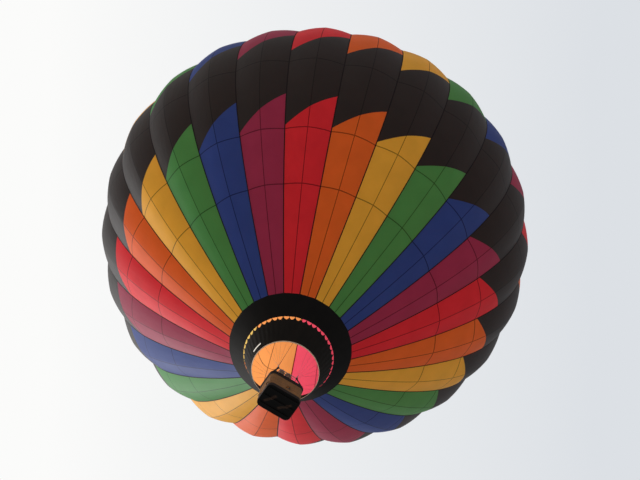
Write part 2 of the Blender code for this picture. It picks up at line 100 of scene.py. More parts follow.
def finish_named(name, colour, roughness, metallic=0.0, specular=0.5, cut=False, tones=None, polish=None,
                 grain=None, ribs=None):
    # A material, with the place that its patterns read: Object coordinates or the flat cloth's UV map.
    # Tones and polish are a noise's scale and detail, and the two colours or roughnesses that it runs
    # between. Grain and ribs are a noise or a wave, its depth in metres and its strength.
    made = bpy.data.materials.new(name)
    made.use_nodes = True
    tree = made.node_tree
    shader = tree.nodes["Principled BSDF"]
    for socket, value in (("Base Color", srgb(colour)), ("Roughness", roughness), ("Metallic", metallic),
                          ("Specular IOR Level", specular)):
        shader.inputs[socket].default_value = value
    place = add(tree, "UVMap", uv_map="cut").outputs["UV"] if cut else \
        add(tree, "TexCoord").outputs["Object"]
    if tones:
        scale, detail, dark, light = tones
        spots = add(tree, "TexNoise", {"Vector": place, "Scale": scale, "Detail": detail})
        add(tree, "Mix", {"Factor": spots, "A": srgb(dark), "B": srgb(light)},
            shader.inputs["Base Color"], data_type="RGBA")
    if polish:
        scale, detail, low, high = polish
        spots = add(tree, "TexNoise", {"Vector": place, "Scale": scale, "Detail": detail})
        add(tree, "MapRange", {"Value": spots, "To Min": low, "To Max": high},
            shader.inputs["Roughness"])
    if grain:
        scale, detail, depth, strength = grain
        height = add(tree, "TexNoise", {"Vector": place, "Scale": scale, "Detail": detail})
        add(tree, "Bump", {"Height": height, "Distance": depth, "Strength": strength},
            shader.inputs["Normal"])
    if ribs:
        scale, direction, depth, strength = ribs
        height = add(tree, "TexWave", {"Vector": place, "Scale": scale}, bands_direction=direction)
        add(tree, "Bump", {"Height": height.outputs["Fac"], "Distance": depth, "Strength": strength},
            shader.inputs["Normal"])
    return made, tree, shader, place


def smooth_route(route, spacing=None, parts=12):
    # A Catmull-Rom curve through the route's points, in steps of about this spacing or in parts
    points = [Vector(point) for point in route]
    points = [2 * points[0] - points[1]] + points + [2 * points[-1] - points[-2]]
    found = []
    for index in range(1, len(points) - 2):
        a, b, c, d = points[index - 1:index + 3]
        count = max(2, round((c - b).length / spacing)) if spacing else parts
        for step in range(count):
            t = step / count
            found.append(0.5 * ((2 * b) + (c - a) * t + (2 * a - 5 * b + 4 * c - d) * t * t
                                + (3 * b - a - 3 * c + d) * t ** 3))
    return found + [points[-2]]


def drawn_line(name, points, radius, closed=False, sides=2, swell=None):
    # A round line along the points, as a curve. Swell gives each point's share of the radius.
    curve = bpy.data.curves.new(name, "CURVE")
    curve.dimensions = "3D"
    curve.bevel_depth = radius
    curve.bevel_resolution = sides
    curve.use_fill_caps = not closed
    line = curve.splines.new("POLY")
    line.points.add(len(points) - 1)
    for step, point in enumerate(points):
        line.points[step].co = (*point, 1.0)
        line.points[step].radius = swell[step] if swell else 1.0
    line.use_cyclic_u = closed
    made = bpy.data.objects.new(name, curve)
    scene.collection.objects.link(made)
    return made


def carried(made, material=None, stands_for=None, body="balloon"):
    # Gives a piece its finish, its body and its material slot, and hides the CAD solid that it stands for
    if material:
        made.data.materials.clear()
        made.data.materials.append(material)
    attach(made, body)
    if stands_for:
        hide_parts(stands_for)


# Braided polyester: matte, brown with age, its plaits drawn as a fine slanted wave along the rope
braid, tree, shader, place = finish_named("braided_polyester", "#1A110D", 0.9, specular=0.1)
plait = add(tree, "TexWave", {"Vector": place, "Scale": 120.0, "Distortion": 1.5},
            bands_direction="DIAGONAL").outputs["Fac"]
add(tree, "Mix", {"Factor": plait, "A": srgb("#0E0907"), "B": srgb("#241812")},
    shader.inputs["Base Color"], data_type="RGBA")
add(tree, "Bump", {"Height": plait, "Distance": 0.0006, "Strength": 0.7}, shader.inputs["Normal"])

crown_route = smooth_route(CROWN_ROUTE, 0.07)
crown_rope = drawn_line("crown_rope", crown_route, ROPE / 2)
carried(crown_rope, braid, "crown_line")

# Gores: 24 spindle-shaped panels of ripstop nylon that bulge between the tapes. Each is two half panels
# sewn together down the middle and across in three places, and has a black part whose two edges climb
# from one tape to the next.

GORES, FIRST_GORE = 24, radians(120)
TURN = 2 * pi / GORES
TAPE_LINE = (
    # height, radius at the tape, how far the cloth stands out as a share of the distance between tapes
    (-10.24, 2.41, 0.020), (-9.19, 3.51, 0.075), (-8.06, 4.60, 0.110), (-7.00, 5.54, 0.135),
    (-5.92, 6.40, 0.140), (-4.85, 7.155, 0.140), (-3.71, 7.81, 0.138), (-2.51, 8.33, 0.130),
    (-1.23, 8.656, 0.122), (0.08, 8.745, 0.114), (1.38, 8.56, 0.107), (2.60, 8.11, 0.102),
    (3.70, 7.47, 0.100), (4.68, 6.715, 0.098), (5.54, 5.857, 0.095), (6.25, 4.90, 0.090),
    (6.80, 3.86, 0.080), (7.14, 2.76, 0.050))
# Share of a gore's bulge that is a ridge down its middle
CREASE = 0.30
# Heights of the black part's two edges at one tape and at the next
LOWER_EDGE = (-4.88, -3.49)
UPPER_EDGE = (-0.90, 0.77)
CROSS_SEAMS = (-6.995, -5.02, -1.75)
CLOTHS = (
    # cloth, its colour, the colour of the light that comes through it
    ("plum", "#902C4A", "#C84E7A"), ("red", "#DC222C", "#F0546A"), ("orange", "#E0581C", "#FFA65C"),
    ("yellow", "#E8A830", "#FFD878"), ("green", "#3C8444", "#78C87C"), ("blue", "#263E84", "#5070B4"))
ACROSS = 24
SPANS = (32, 18, 42)

# Each level is a height, radius, bulge and length of tape so far
levels = []
length = 0.0
for point in smooth_route(TAPE_LINE):
    if levels:
        length += hypot(point.x - levels[-1][0], point.y - levels[-1][1])
    levels.append((*point, length))


def level_at(value, column=3):
    # The level at a height (column 0) or at a length along the tape (column 3), with its outward slope
    low = max(index for index in range(len(levels) - 1) if index == 0 or levels[index][column] <= value)
    a, b = levels[low], levels[low + 1]
    t = (value - a[column]) / (b[column] - a[column])
    before, after = levels[max(low - 1, 0)], levels[min(low + 2, len(levels) - 1)]
    rise, out = after[0] - before[0], after[1] - before[1]
    size = hypot(rise, out)
    return [a[i] + (b[i] - a[i]) * t for i in range(4)], (rise / size, -out / size)


def cloth_point(level, slope, share, proud=0.0, crease=CREASE):
    # A point of a gore that faces +X: share runs from -1 at one tape to 1 at the next
    half = level[1] * sin(TURN / 2)
    rise = level[2] * 2 * half
    bend = (half * half + rise * rise) / (2 * rise)
    arc = sqrt(max(bend ** 2 - (half * share) ** 2, 0.0)) - (bend - rise)
    lift = (1 - crease) * arc + crease * rise * (1 - abs(share)) + proud
    return Vector((level[1] * cos(TURN / 2) + lift * slope[0], half * share, level[0] + lift * slope[1]))


def azimuth(number):
    return FIRST_GORE + TURN * number


def on_circle(reach, angle, height):
    return Vector((reach * cos(angle), reach * sin(angle), height))


def alone(made):
    # Selects this object and nothing else
    bpy.ops.object.select_all(action="DESELECT")
    made.select_set(True)
    bpy.context.view_layer.objects.active = made
    return made


def started(kind, **sizes):
    # A new primitive, which is then the only thing selected
    bpy.ops.object.select_all(action="DESELECT")
    getattr(bpy.ops.mesh, f"primitive_{kind}_add")(**sizes)
    return bpy.context.object


def grid(name, across, along):
    # A flat grid whose points are then placed one by one. Each point's column and row come back with it.
    made = started("grid", x_subdivisions=across, y_subdivisions=along, size=2.0)
    made.name = made.data.name = name
    spots = [(round((v.co.x + 1) / 2 * across), round((v.co.y + 1) / 2 * along))
             for v in made.data.vertices]
    return made, spots


def laid_out(made, spots, point_of, cut_of):
    # Puts each point of a grid in its place, and writes where it lies on the flat cloth into the UV map
    for vertex, spot in zip(made.data.vertices, spots):
        vertex.co = point_of(*spot)
    layer = made.data.uv_layers[0]
    layer.name = "cut"
    for loop in made.data.loops:
        layer.uv[loop.index].vector = cut_of(*spots[loop.vertex_index])
    made.data.update()
    made.data.shade_smooth()
    return made


def lets_light_through(tree, shader, share, given):
    # Mixes the cloth's own finish with the light that comes through it
    light = add(tree, "BsdfTranslucent", given)
    add(tree, "MixShader", {0: share, 1: shader, 2: light},
        tree.nodes["Material Output"].inputs["Surface"])


# Ripstop nylon: thin and satin, and it lets nearly half of the light through. The seams are three or four
# layers thick, so they show as dark lines. They are drawn 30 to 44 mm wide, so that they show from the
# ground. The weave's squares are 8 mm.
def ripstop(name, colour, glow, through=0.45, seam_shade=0.32):
    made, tree, shader, cut = finish_named(name, colour, 0.5, specular=0.06, cut=True)
    spot = add(tree, "SeparateXYZ", {"Vector": cut})
    seam = add(tree, "Math", {0: spot.outputs["X"], 1: 0.0, 2: 0.015}, operation="COMPARE")
    for height in CROSS_SEAMS:
        far = level_at(height, 0)[0][3]
        line = add(tree, "Math", {0: spot.outputs["Y"], 1: far, 2: 0.022}, operation="COMPARE")
        seam = add(tree, "Math", {0: seam, 1: line}, operation="MAXIMUM")
    faded = add(tree, "TexNoise", {"Vector": cut, "Scale": 0.7, "Detail": 4.0})
    shade = add(tree, "MapRange",
                {"Value": faded, "From Min": 0.3, "From Max": 0.7, "To Min": 0.92, "To Max": 1.06})
    darker = add(tree, "MapRange", {"Value": seam, "To Min": 1.0, "To Max": seam_shade})
    both = add(tree, "Math", {0: shade, 1: darker}, operation="MULTIPLY")
    add(tree, "VectorMath", {0: srgb(colour)[:3], "Scale": both}, shader.inputs["Base Color"],
        operation="SCALE")
    lit = add(tree, "VectorMath", {0: srgb(glow)[:3], "Scale": both}, operation="SCALE")
    weave = add(tree, "TexBrick", {"Vector": cut, "Scale": 1.0, "Mortar Size": 0.0006,
                                   "Brick Width": 0.008, "Row Height": 0.008}, offset=0.0)
    pull = add(tree, "Mapping", {"Vector": cut, "Scale": (5.0, 1.2, 1.0)})
    ripple = add(tree, "TexNoise", {"Vector": pull, "Scale": 1.0, "Detail": 2.0})
    fine = add(tree, "Math", {0: weave.outputs["Fac"], 1: 0.0002}, operation="MULTIPLY")
    height = add(tree, "Math", {0: ripple, 1: 0.02, 2: fine}, operation="MULTIPLY_ADD")
    relief = add(tree, "Bump", {"Height": height, "Distance": 1.0, "Strength": 0.5},
                 shader.inputs["Normal"])
    lets_light_through(tree, shader, through, {"Color": lit, "Normal": relief})
    return made


cloths = [(ripstop(f"{cloth}_ripstop_nylon", colour, glow), f"{cloth}_cloth")
          for cloth, colour, glow in CLOTHS]
black_nylon = ripstop("black_ripstop_nylon", "#221F1F", "#584C40", 0.25, 0.45)


def gore_rows(share):
    # Lengths along the tape of each row of a gore at this share of its width
    climb = (share + 1) / 2
    edges = [low + (high - low) * climb for low, high in (LOWER_EDGE, UPPER_EDGE)]
    marks = [level_at(mark, 0)[0][3] for mark in (levels[0][0], *edges, levels[-1][0])]
    found = []
    for span, low, high in zip(SPANS, marks, marks[1:]):
        found += [low + (high - low) * step / span for step in range(span)]
    return found + [marks[-1]]


rows_at = [gore_rows(-1 + 2 * column / ACROSS) for column in range(ACROSS + 1)]


def gore_place(column, row):
    level, slope = level_at(rows_at[column][row])
    return cloth_point(level, slope, -1 + 2 * column / ACROSS)


def gore_cut(column, row):
    level, _ = level_at(rows_at[column][row])
    return (level[1] * sin(TURN / 2) * (-1 + 2 * column / ACROSS), level[3])


def copy_of(part, name, place):
    made = part.copy()
    made.data = part.data.copy()
    made.name = made.data.name = name
    scene.collection.objects.link(made)
    made.data.transform(place)
    return made


first_gore, spots = grid("gore", ACROSS, sum(SPANS))
laid_out(first_gore, spots, gore_place, gore_cut)
for face in first_gore.data.polygons:
    rows = [spots[v][1] for v in face.vertices]
    face.material_index = 1 if SPANS[0] <= min(rows) and max(rows) <= SPANS[0] + SPANS[1] else 0
first_gore.data.materials.append(black_nylon)
first_gore.data.materials.append(black_nylon)
for number in range(1, GORES + 1):
    gore = copy_of(first_gore, f"gore_cloth_{number:02d}", Matrix.Rotation(azimuth(number), 4, "Z"))
    gore.data.materials[0], slot = cloths[(number - 1) % len(cloths)]
    carried(gore, stands_for=f"gore_{number:02d}")
bpy.data.objects.remove(first_gore)

# Load tapes: polyester webbing sewn over each seam between two gores, from the mouth to the crown ring.
# They carry the load, and lie in the valleys between the gores.

TAPE_HALF = 0.020
TAPE_PROUD = 0.003
TAPE_ROWS = 150

# Polyester webbing: matte, dark and dusty, ribbed across every 2 mm
webbing, *_ = finish_named("polyester_webbing", "#140D0E", 0.85, specular=0.1,
                           tones=(3.0, 3.0, "#0E0909", "#221818"), ribs=(160.0, "Z", 0.0004, 0.6))


def tape_place(column, row):
    # A point of a tape, which lies half on the gore that faces +X and half on the next
    level, slope = level_at(levels[-1][3] * row / TAPE_ROWS)
    reach = (column - 2) / 2 * TAPE_HALF / (level[1] * sin(TURN / 2))
    point = cloth_point(level, slope, 1 - abs(reach), TAPE_PROUD)
    if reach > 0:
        point.y = -point.y
    return Matrix.Rotation(TURN / 2 if reach > 0 else -TURN / 2, 3, "Z") @ point


def all_round(made, first):
    # Turns a piece to its first place round the balloon's axis, and copies it to all 24, as one mesh
    shape = bmesh.new()
    for step in range(GORES):
        turned = made.data.copy()
        turned.transform(Matrix.Rotation(first + TURN * step, 4, "Z"))
        shape.from_mesh(turned)
        bpy.data.meshes.remove(turned)
    shape.to_mesh(made.data)
    shape.free()


load_tapes, spots = grid("load_tapes", 4, TAPE_ROWS)
laid_out(load_tapes, spots, tape_place,
         lambda column, row: (column * TAPE_HALF / 2, levels[-1][3] * row / TAPE_ROWS))
all_round(load_tapes, azimuth(1) + TURN / 2)
carried(load_tapes, webbing)

# Throat: a band of black heat-proof cloth between the gores and the mouth, where the burner's heat
# passes. It is sewn of 24 parts like the gores, with a seam down the middle of each, and is taped round
# the mouth.

# Height, radius and bulge, as in the tape line
MOUTH = (-10.96, 1.76, 0.035)
THROAT_TOP = TAPE_LINE[0]
MOUTH_TAPE = 0.035
throat_rise, throat_out = THROAT_TOP[0] - MOUTH[0], THROAT_TOP[1] - MOUTH[1]
throat_long = hypot(throat_rise, throat_out)
throat_slope = (throat_rise / throat_long, -throat_out / throat_long)


def throat_point(share, up, proud=0.0):
    level = [a + (b - a) * up for a, b in zip(MOUTH, THROAT_TOP)]
    return cloth_point(level, throat_slope, share, proud, crease=0.2)


def edit(made, operator, **settings):
    # Works on the whole of a piece in edit mode
    alone(made)
    bpy.ops.object.mode_set(mode="EDIT")
    bpy.ops.mesh.select_all(action="SELECT")
    operator(**settings)
    bpy.ops.object.mode_set(mode="OBJECT")
    return made


def sewn_ring(name, steps, rows, point_of, long):
    # A ring of cloth sewn of 24 like parts, closed where it meets itself. point_of gives a point of the
    # part that faces +X, by its share of the part's width and of the ring's length. On the flat cloth, x
    # counts parts round the ring and y is in metres.
    made, spots = grid(name, GORES * steps, rows)

    def place_of(column, row):
        number, step = divmod(column, steps)
        return Matrix.Rotation(azimuth(number), 3, "Z") @ point_of(-1 + 2 * step / steps, row / rows)

    laid_out(made, spots, place_of, lambda column, row: (column / steps, long * row / rows))
    return edit(made, bpy.ops.mesh.remove_doubles, threshold=0.0002)


# Heat-proof aramid cloth: black, matte and plain woven. Its seams show as faint raised lines. The weave
# is drawn 6 mm wide.
def heatproof(name, colour, worn_colour, through=0.0):
    made, tree, shader, cut = finish_named(name, colour, 0.85, specular=0.1, cut=True)
    stain = add(tree, "TexNoise", {"Vector": cut, "Scale": 1.3, "Detail": 5.0, "Roughness": 0.6})
    add(tree, "Mix", {"Factor": stain, "A": srgb(colour), "B": srgb(worn_colour)},
        shader.inputs["Base Color"], data_type="RGBA")
    spot = add(tree, "SeparateXYZ", {"Vector": cut})
    near = add(tree, "Math", {0: spot.outputs["X"], 1: 0.25}, operation="PINGPONG")
    seam = add(tree, "Math", {0: near, 1: 0.02}, operation="LESS_THAN")
    threads = add(tree, "Mapping", {"Vector": cut, "Scale": (80.0, 160.0, 1.0)})
    weave = add(tree, "TexChecker", {"Vector": threads, "Scale": 1.0}).outputs["Fac"]
    pleats = add(tree, "Mapping", {"Vector": cut, "Scale": (9.0, 0.8, 1.0)})
    fold = add(tree, "TexNoise", {"Vector": pleats, "Scale": 1.0, "Detail": 2.0})
    height = add(tree, "Math", {0: weave, 1: 0.0004}, operation="MULTIPLY")
    for pattern, depth in ((seam, 0.002), (fold, 0.003)):
        height = add(tree, "Math", {0: pattern, 1: depth, 2: height}, operation="MULTIPLY_ADD")
    add(tree, "Bump", {"Height": height, "Distance": 1.0, "Strength": 0.5}, shader.inputs["Normal"])
    if through:
        lets_light_through(tree, shader, through, {"Color": srgb(worn_colour)})
    return made


throat = sewn_ring("throat_cloth", 8, 10, throat_point, throat_long)
carried(throat, heatproof("heatproof_aramid", "#060505", "#14100D"), "throat")
mouth_tape = sewn_ring("mouth_tape", 8, 2, lambda share, up: throat_point(share, 0.036 * up, 0.002),
                       MOUTH_TAPE)
carried(mouth_tape, webbing)

# Skirt: a tapered tube of the same black cloth under the mouth. It hangs by short tabs at each tape and
# at the middle of each gore, so daylight shows through the scallops between them. A pale hem holds a hoop
# at its foot, and a white patch is sewn on at one side.

FOOT_HEIGHT, FOOT_RADIUS = -12.18, 1.307
SKIRT_TAPER = 0.371
SCALLOP, SCALLOP_GAP = 0.130, 0.028
HEM = 0.026
HOOP_RADIUS, HOOP_THICK, HOOP_HEIGHT = 1.302, 0.010, -12.189
# Share of the way from a gore's middle to its tape, width of the tab
TABS = ((1.0, 0.030), (0.0, 0.022))
# The angles and the heights between which the patch lies
PATCH = (radians(176.6), radians(195.4), -11.965, -11.900)
PATCH_COLUMNS, PATCH_ROWS = 24, 3
skirt_long = hypot(FOOT_HEIGHT - MOUTH[0], FOOT_RADIUS - MOUTH[1])


def skirt_top(share):
    # The angle, radius and height of the skirt's upper edge, which is cut in scallops
    mouth = throat_point(share, 0.0)
    reach = hypot(mouth.x, mouth.y)
    lobe = abs(sin(pi * share)) ** 0.8
    drop = 0.004 + SCALLOP * lobe + SCALLOP_GAP * (1 - abs(share)) ** 2
    down = drop / (mouth.z - FOOT_HEIGHT)
    return atan2(mouth.y, mouth.x), reach + (FOOT_RADIUS - reach) * down, mouth.z - drop


def skirt_point(share, up, proud=0.0):
    angle, reach, top = skirt_top(share)
    billow = 0.012 * sin(pi * up) * cos(pi * share) ** 2
    out = FOOT_RADIUS + (reach - FOOT_RADIUS) * up + billow + proud
    return on_circle(out, angle, FOOT_HEIGHT + (top - FOOT_HEIGHT) * up)


def hem_point(share, up):
    reach = FOOT_RADIUS + 0.002 + SKIRT_TAPER * HEM * up
    return on_circle(reach, skirt_top(share)[0], FOOT_HEIGHT + HEM * up)


def settled(made, name):
    # Puts the piece's place into its mesh, smooths it and names it
    alone(made)
    bpy.ops.object.transform_apply(location=True, rotation=True, scale=True)
    bpy.ops.object.shade_smooth_by_angle(angle=radians(35))
    made.name = made.data.name = name
    return made


def modified(made, kind, **settings):
    # Adds a modifier, sets it and applies it
    alone(made)
    modifier = made.modifiers.new(kind.lower(), kind)
    for name, value in settings.items():
        setattr(modifier, name, value)
    bpy.ops.object.modifier_apply(modifier=modifier.name)
    return made


def joined(name, pieces, smooth=True):
    bpy.ops.object.select_all(action="DESELECT")
    for piece in pieces:
        piece.select_set(True)
    bpy.context.view_layer.objects.active = pieces[0]
    bpy.ops.object.join()
    made = bpy.context.object
    made.name = made.data.name = name
    if smooth:
        made.data.shade_smooth()
    return made


skirt = sewn_ring("skirt_cloth", 16, 14, skirt_point, skirt_long)
skirt_cloth = heatproof("heatproof_aramid_skirt", "#080706", "#1C1712", 0.12)
carried(skirt, skirt_cloth, "skirt")

# Nylon hem tape: pale tan and smooth, and it glows a little where light comes through it
hem_tape, tree, shader, place = finish_named("nylon_hem_tape", "#E0BFA0", 0.7, cut=True)
stitch = add(tree, "Mapping", {"Vector": place, "Scale": (60.0, 90.0, 1.0)})
add(tree, "TexChecker",
    {"Vector": stitch, "Scale": 1.0, "Color1": srgb("#E0BFA0"), "Color2": srgb("#C8A88A")},
    shader.inputs["Base Color"])
lets_light_through(tree, shader, 0.4, {"Color": srgb("#FFDCB8")})
carried(sewn_ring("skirt_hem", 8, 2, hem_point, HEM), hem_tape)

# Gathered nylon sleeve round the hoop: pale, with a pleat about every 15 mm
sleeve, *_ = finish_named("gathered_nylon_sleeve", "#D0AE90", 0.75, grain=(60.0, 1.0, 0.003, 0.6))
hoop = started("torus", major_radius=HOOP_RADIUS, minor_radius=HOOP_THICK, major_segments=192,
               minor_segments=10, location=(0, 0, HOOP_HEIGHT))
carried(settled(hoop, "skirt_hoop_sleeve"), sleeve, "skirt_hoop")

tabs = []
for share, wide in TABS:
    top, low = throat_point(share, 0.04, 0.004), skirt_point(share, 0.955, 0.004)
    side = Vector((-sin(TURN / 2 * share), cos(TURN / 2 * share), 0.0)) * wide / 2
    out = side.cross(top - low).normalized()
    tab = started("grid", x_subdivisions=2, y_subdivisions=6, size=2.0)
    for vertex in tab.data.vertices:
        up = (vertex.co.y + 1) / 2
        vertex.co = low + (top - low) * up + side * vertex.co.x + out * 0.006 * sin(pi * up)
    all_round(modified(tab, "SOLIDIFY", thickness=0.003), azimuth(1))
    tabs.append(tab)
carried(joined("skirt_tabs", tabs, smooth=False), webbing)


def patch_place(column, row):
    angle = PATCH[0] + (PATCH[1] - PATCH[0]) * column / PATCH_COLUMNS
    height = PATCH[2] + (PATCH[3] - PATCH[2]) * row / PATCH_ROWS + 0.012 * column / PATCH_COLUMNS
    return on_circle(FOOT_RADIUS + (height - FOOT_HEIGHT) * SKIRT_TAPER + 0.014, angle, height)


# White nylon patch: bright against the black skirt, a little soiled
white_nylon, *_ = finish_named("white_nylon_patch", "#E8E0D4", 0.6, cut=True,
                               tones=(6.0, 3.0, "#F2EBDF", "#D8CCBC"))
patch, spots = grid("skirt_patch", PATCH_COLUMNS, PATCH_ROWS)
laid_out(patch, spots, patch_place, lambda column, row: (column * 0.05, row * 0.022))
carried(patch, white_nylon)

# Crown: 24 webbing tapes cross the vent and loop round an aluminium ring at the top. Under them a
# parachute of black nylon closes the vent from inside, held up against the tapes by the hot air.

# Distance from the axis and height, with a third number that nothing reads
CROWN_LINE = ((0.19, 7.2895, 0.0), (1.08, 7.289, 0.0), (1.90, 7.254, 0.0), (2.656, 7.1645, 0.0))
RING_RADIUS, RING_HEIGHT, RING_LOOP = 0.135, 7.3007, 0.0140
VENT = (7.164, 2.66, 0.050)
VENT_SLOPE = (0.24, 0.97)
PARACHUTE_LINE = ((0.0, 7.2755, 0.0), (1.08, 7.2755, 0.0), (1.90, 7.2405, 0.0), (2.6562, 7.1491, 0.0),
                  (2.95, 7.0668, 0.0))
PARACHUTE = 5.96

tape_loop = [(RING_RADIUS + RING_LOOP * cos(radians(a)), RING_HEIGHT + RING_LOOP * sin(radians(a)))
             for a in range(-60, -361, -20)]
path = [(0.175, 7.2865)] + tape_loop + [(0.16, 7.2925)]
path += [(point.x, point.y) for point in smooth_route(CROWN_LINE, 0.05)]
crown_webbing, spots = grid("crown_webbing", 2, len(path) - 1)
for vertex, (column, row) in zip(crown_webbing.data.vertices, spots):
    reach, height = path[row]
    half = 0.014 + 0.006 * min(1.0, max(0.0, (reach - 0.16) / 0.25))
    vertex.co = (reach, half * (1 - column), height)
all_round(modified(crown_webbing, "SOLIDIFY", thickness=0.0025, offset=0.0), azimuth(1) + TURN / 2)
crown_webbing.data.shade_smooth()
carried(crown_webbing, webbing, "crown_tapes")


def vent_point(share, up):
    level = [a + (b - a) * up for a, b in zip(levels[-1], VENT)]
    return cloth_point(level, VENT_SLOPE, share, 0.002, crease=0.2)


vent_edge = sewn_ring("vent_edge_tape", 8, 3, vent_point, 0.10)
carried(vent_edge, webbing, "vent_rim")

parachute_line = smooth_route(PARACHUTE_LINE, 0.10)


def parachute_point(share, up):
    reach, height, _ = parachute_line[round((1 - up) * (len(parachute_line) - 1))]
    swell = 0.012 * (reach / 2.95) * (1 - share * share) if reach < 2.8 else 0.0
    return on_circle(reach, TURN / 2 * share, height - 0.004 + swell * 0.6)


parachute = sewn_ring("parachute_cloth", 6, len(parachute_line) - 1, parachute_point, PARACHUTE / 2)
carried(parachute, black_nylon, "parachute_valve", body="parachute")


def painted(node, material):
    # Gives a CAD node that keeps its shape its real finish
    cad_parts[node].data.materials.clear()
    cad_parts[node].data.materials.append(material)


# Brushed aluminium: satin, a little dull from the weather, with fine marks round the ring
aluminium, *_ = finish_named("brushed_aluminium", "#C4C6C8", 0.35, 1.0, polish=(90.0, 3.0, 0.28, 0.5))
painted("crown_ring", aluminium)

# Stay wires: six stainless steel wires at each corner of the load frame, 5 mm thick, that fan out from a
# karabiner to the tapes at the mouth, where each ends in a crimped ferrule.

FRAME_HEIGHT = -12.75
CORNERS = ((-1, -1), (1, -1), (-1, 1), (1, 1))
CORNER_EYE = (0.42, 0.28, FRAME_HEIGHT + 0.0303)
WIRES, WIRE = 6, 0.0025
UP = Vector((0, 0, 1))

# Stranded stainless steel: dull grey, with the strands' slant as a fine wave along it
stranded, *_ = finish_named("stranded_stainless_steel", "#8A8886", 0.5, 1.0,
                            ribs=(180.0, "DIAGONAL", 0.0004, 0.8))
# Forged steel: smoother and a little brighter than the wire
forged, *_ = finish_named("forged_steel", "#8C8C8E", 0.3, 1.0, polish=(60.0, 4.0, 0.2, 0.5))


def turns(count):
    # Angles spaced evenly round a circle
    return [2 * pi * step / count for step in range(count)]


def squared(value, power):
    # Bends a sine or cosine towards -1 and 1, which makes a circle squarer
    return copysign(abs(value) ** power, value)


def tube(name, points, radius, material=None, **shape):
    # A round line along the points, as a mesh
    alone(drawn_line(name, points, radius, **shape))
    bpy.ops.object.convert(target="MESH")
    made = bpy.context.object
    if material:
        made.data.materials.append(material)
    return made


wire_end = Vector((MOUTH[1], 0, MOUTH[0])) + Vector((-throat_slope[1], 0, throat_slope[0])) * 0.06 \
    - Vector((throat_slope[0], 0, throat_slope[1])) * 0.012
for number, (sx, sy) in enumerate(CORNERS, 1):
    low = Vector((sx * CORNER_EYE[0], sy * CORNER_EYE[1], CORNER_EYE[2]))
    middle = atan2(sy, sx)
    across = Vector((-sin(middle), cos(middle), 0.0))
    gather = low + UP * 0.088
    link = [low + UP * (0.050 + 0.044 * sin(turn))
            + across * squared(cos(turn), 0.7) * (0.019 if sin(turn) < 0 else 0.022)
            for turn in turns(32)]
    gate = [low + UP * height + across * 0.0195 for height in (0.036, 0.066)]
    pieces = [tube("karabiner", link, 0.006, forged, closed=True, sides=3),
              tube("karabiner_gate", gate, 0.0082, forged, sides=3)]
    for step in range(WIRES):
        aside = step - (WIRES - 1) / 2
        start = gather + across * aside * 0.003
        end = Matrix.Rotation(middle + TURN * aside, 3, "Z") @ wire_end
        along = (end - gather).normalized()
        pieces += [
            tube("wire", [start, start + along * 0.05, end - along * 0.03, end], WIRE, stranded, sides=1),
            tube("ferrule", [end - along * back for back in (0.045, 0.04, 0.005, 0)], 0.0065, forged),
            tube("low_ferrule", [start + along * 0.012, start + along * 0.045], 0.0055, forged)]
    carried(joined(f"stay_wire_bundle_{number}", pieces),
            stands_for=f"stay_wires_{number}")

# Vent line: a taut braided rope that opens the parachute, from the load frame's near corner up through the
# mouth to a pulley inside the envelope. The pulley hangs on a short strap.

VENT_FOOT = Vector((-0.435, -0.262, -12.705))
VENT_HEAD = Vector((2.45, -4.24, 6.20))
vent_side = atan2(VENT_HEAD.y, VENT_HEAD.x)
wall = Matrix.Rotation(vent_side, 3, "Z") @ cloth_point(*level_at(VENT_HEAD.z, 0), 0.0)
vent_points = [VENT_FOOT + (VENT_HEAD - VENT_FOOT) * step / 40 for step in range(41)]
vent_rope = tube("vent_rope", vent_points, 0.006, braid)
strap = tube("pulley_strap", [VENT_HEAD, VENT_HEAD + (wall - VENT_HEAD) * 0.99], 0.008, webbing, sides=1)
carried(joined("vent_line", [vent_rope, strap]))
pulley = started("cylinder", vertices=32, radius=0.03, depth=0.018, location=VENT_HEAD,
                 rotation=(pi / 2, 0, vent_side))
edit(pulley, bpy.ops.mesh.bevel, offset=0.003, segments=2)
carried(settled(pulley, "vent_pulley"), aluminium)

# Load frame and gimbal: a rounded rectangle of welded stainless steel tube with a block at each corner,
# and inside it the tilting ring that carries the burner.

# Brushed stainless steel: grey satin, its colour darkened as painted shade for the frame's shaded
# underside, with scratches that are drawn coarse
stainless, *_ = finish_named("brushed_stainless_steel", "#7C7A78", 0.34, 1.0, polish=(9.0, 4.0, 0.24, 0.5),
                             grain=(240.0, 2.0, 0.0002, 0.4))
painted("load_frame", stainless)
painted("gimbal_ring", stainless)

# Burner: two stainless cans side by side, each with two rings of air holes, a rolled rim and a coil of
# tube that boils the fuel. Under them a block carries brass valves with red and black grips.

CAN_LOW = FRAME_HEIGHT + 0.045
CAN_SIDE, CAN_RADIUS, CAN_HIGH, CAN_WALL = 0.145, 0.125, 0.32, 0.003
FACETS = 48
# Lower edge, upper edge and first facet of each ring of holes
AIR_HOLES = ((0.040, 0.062, 0), (0.082, 0.104, 1))
COIL_RADIUS, COIL_PITCH, COIL_STEPS = 0.098, 0.04116, 32
JETS, JET_RADIUS = 10, 0.045
# Height, radius and thickness of each hexagonal valve body
NUTS = ((-0.020, 0.0255, 0.014), (-0.062, 0.024, 0.012))
GRIPS = ((-1, "red", "#B01C1C"), (1, "black", "#1C1C1E"))

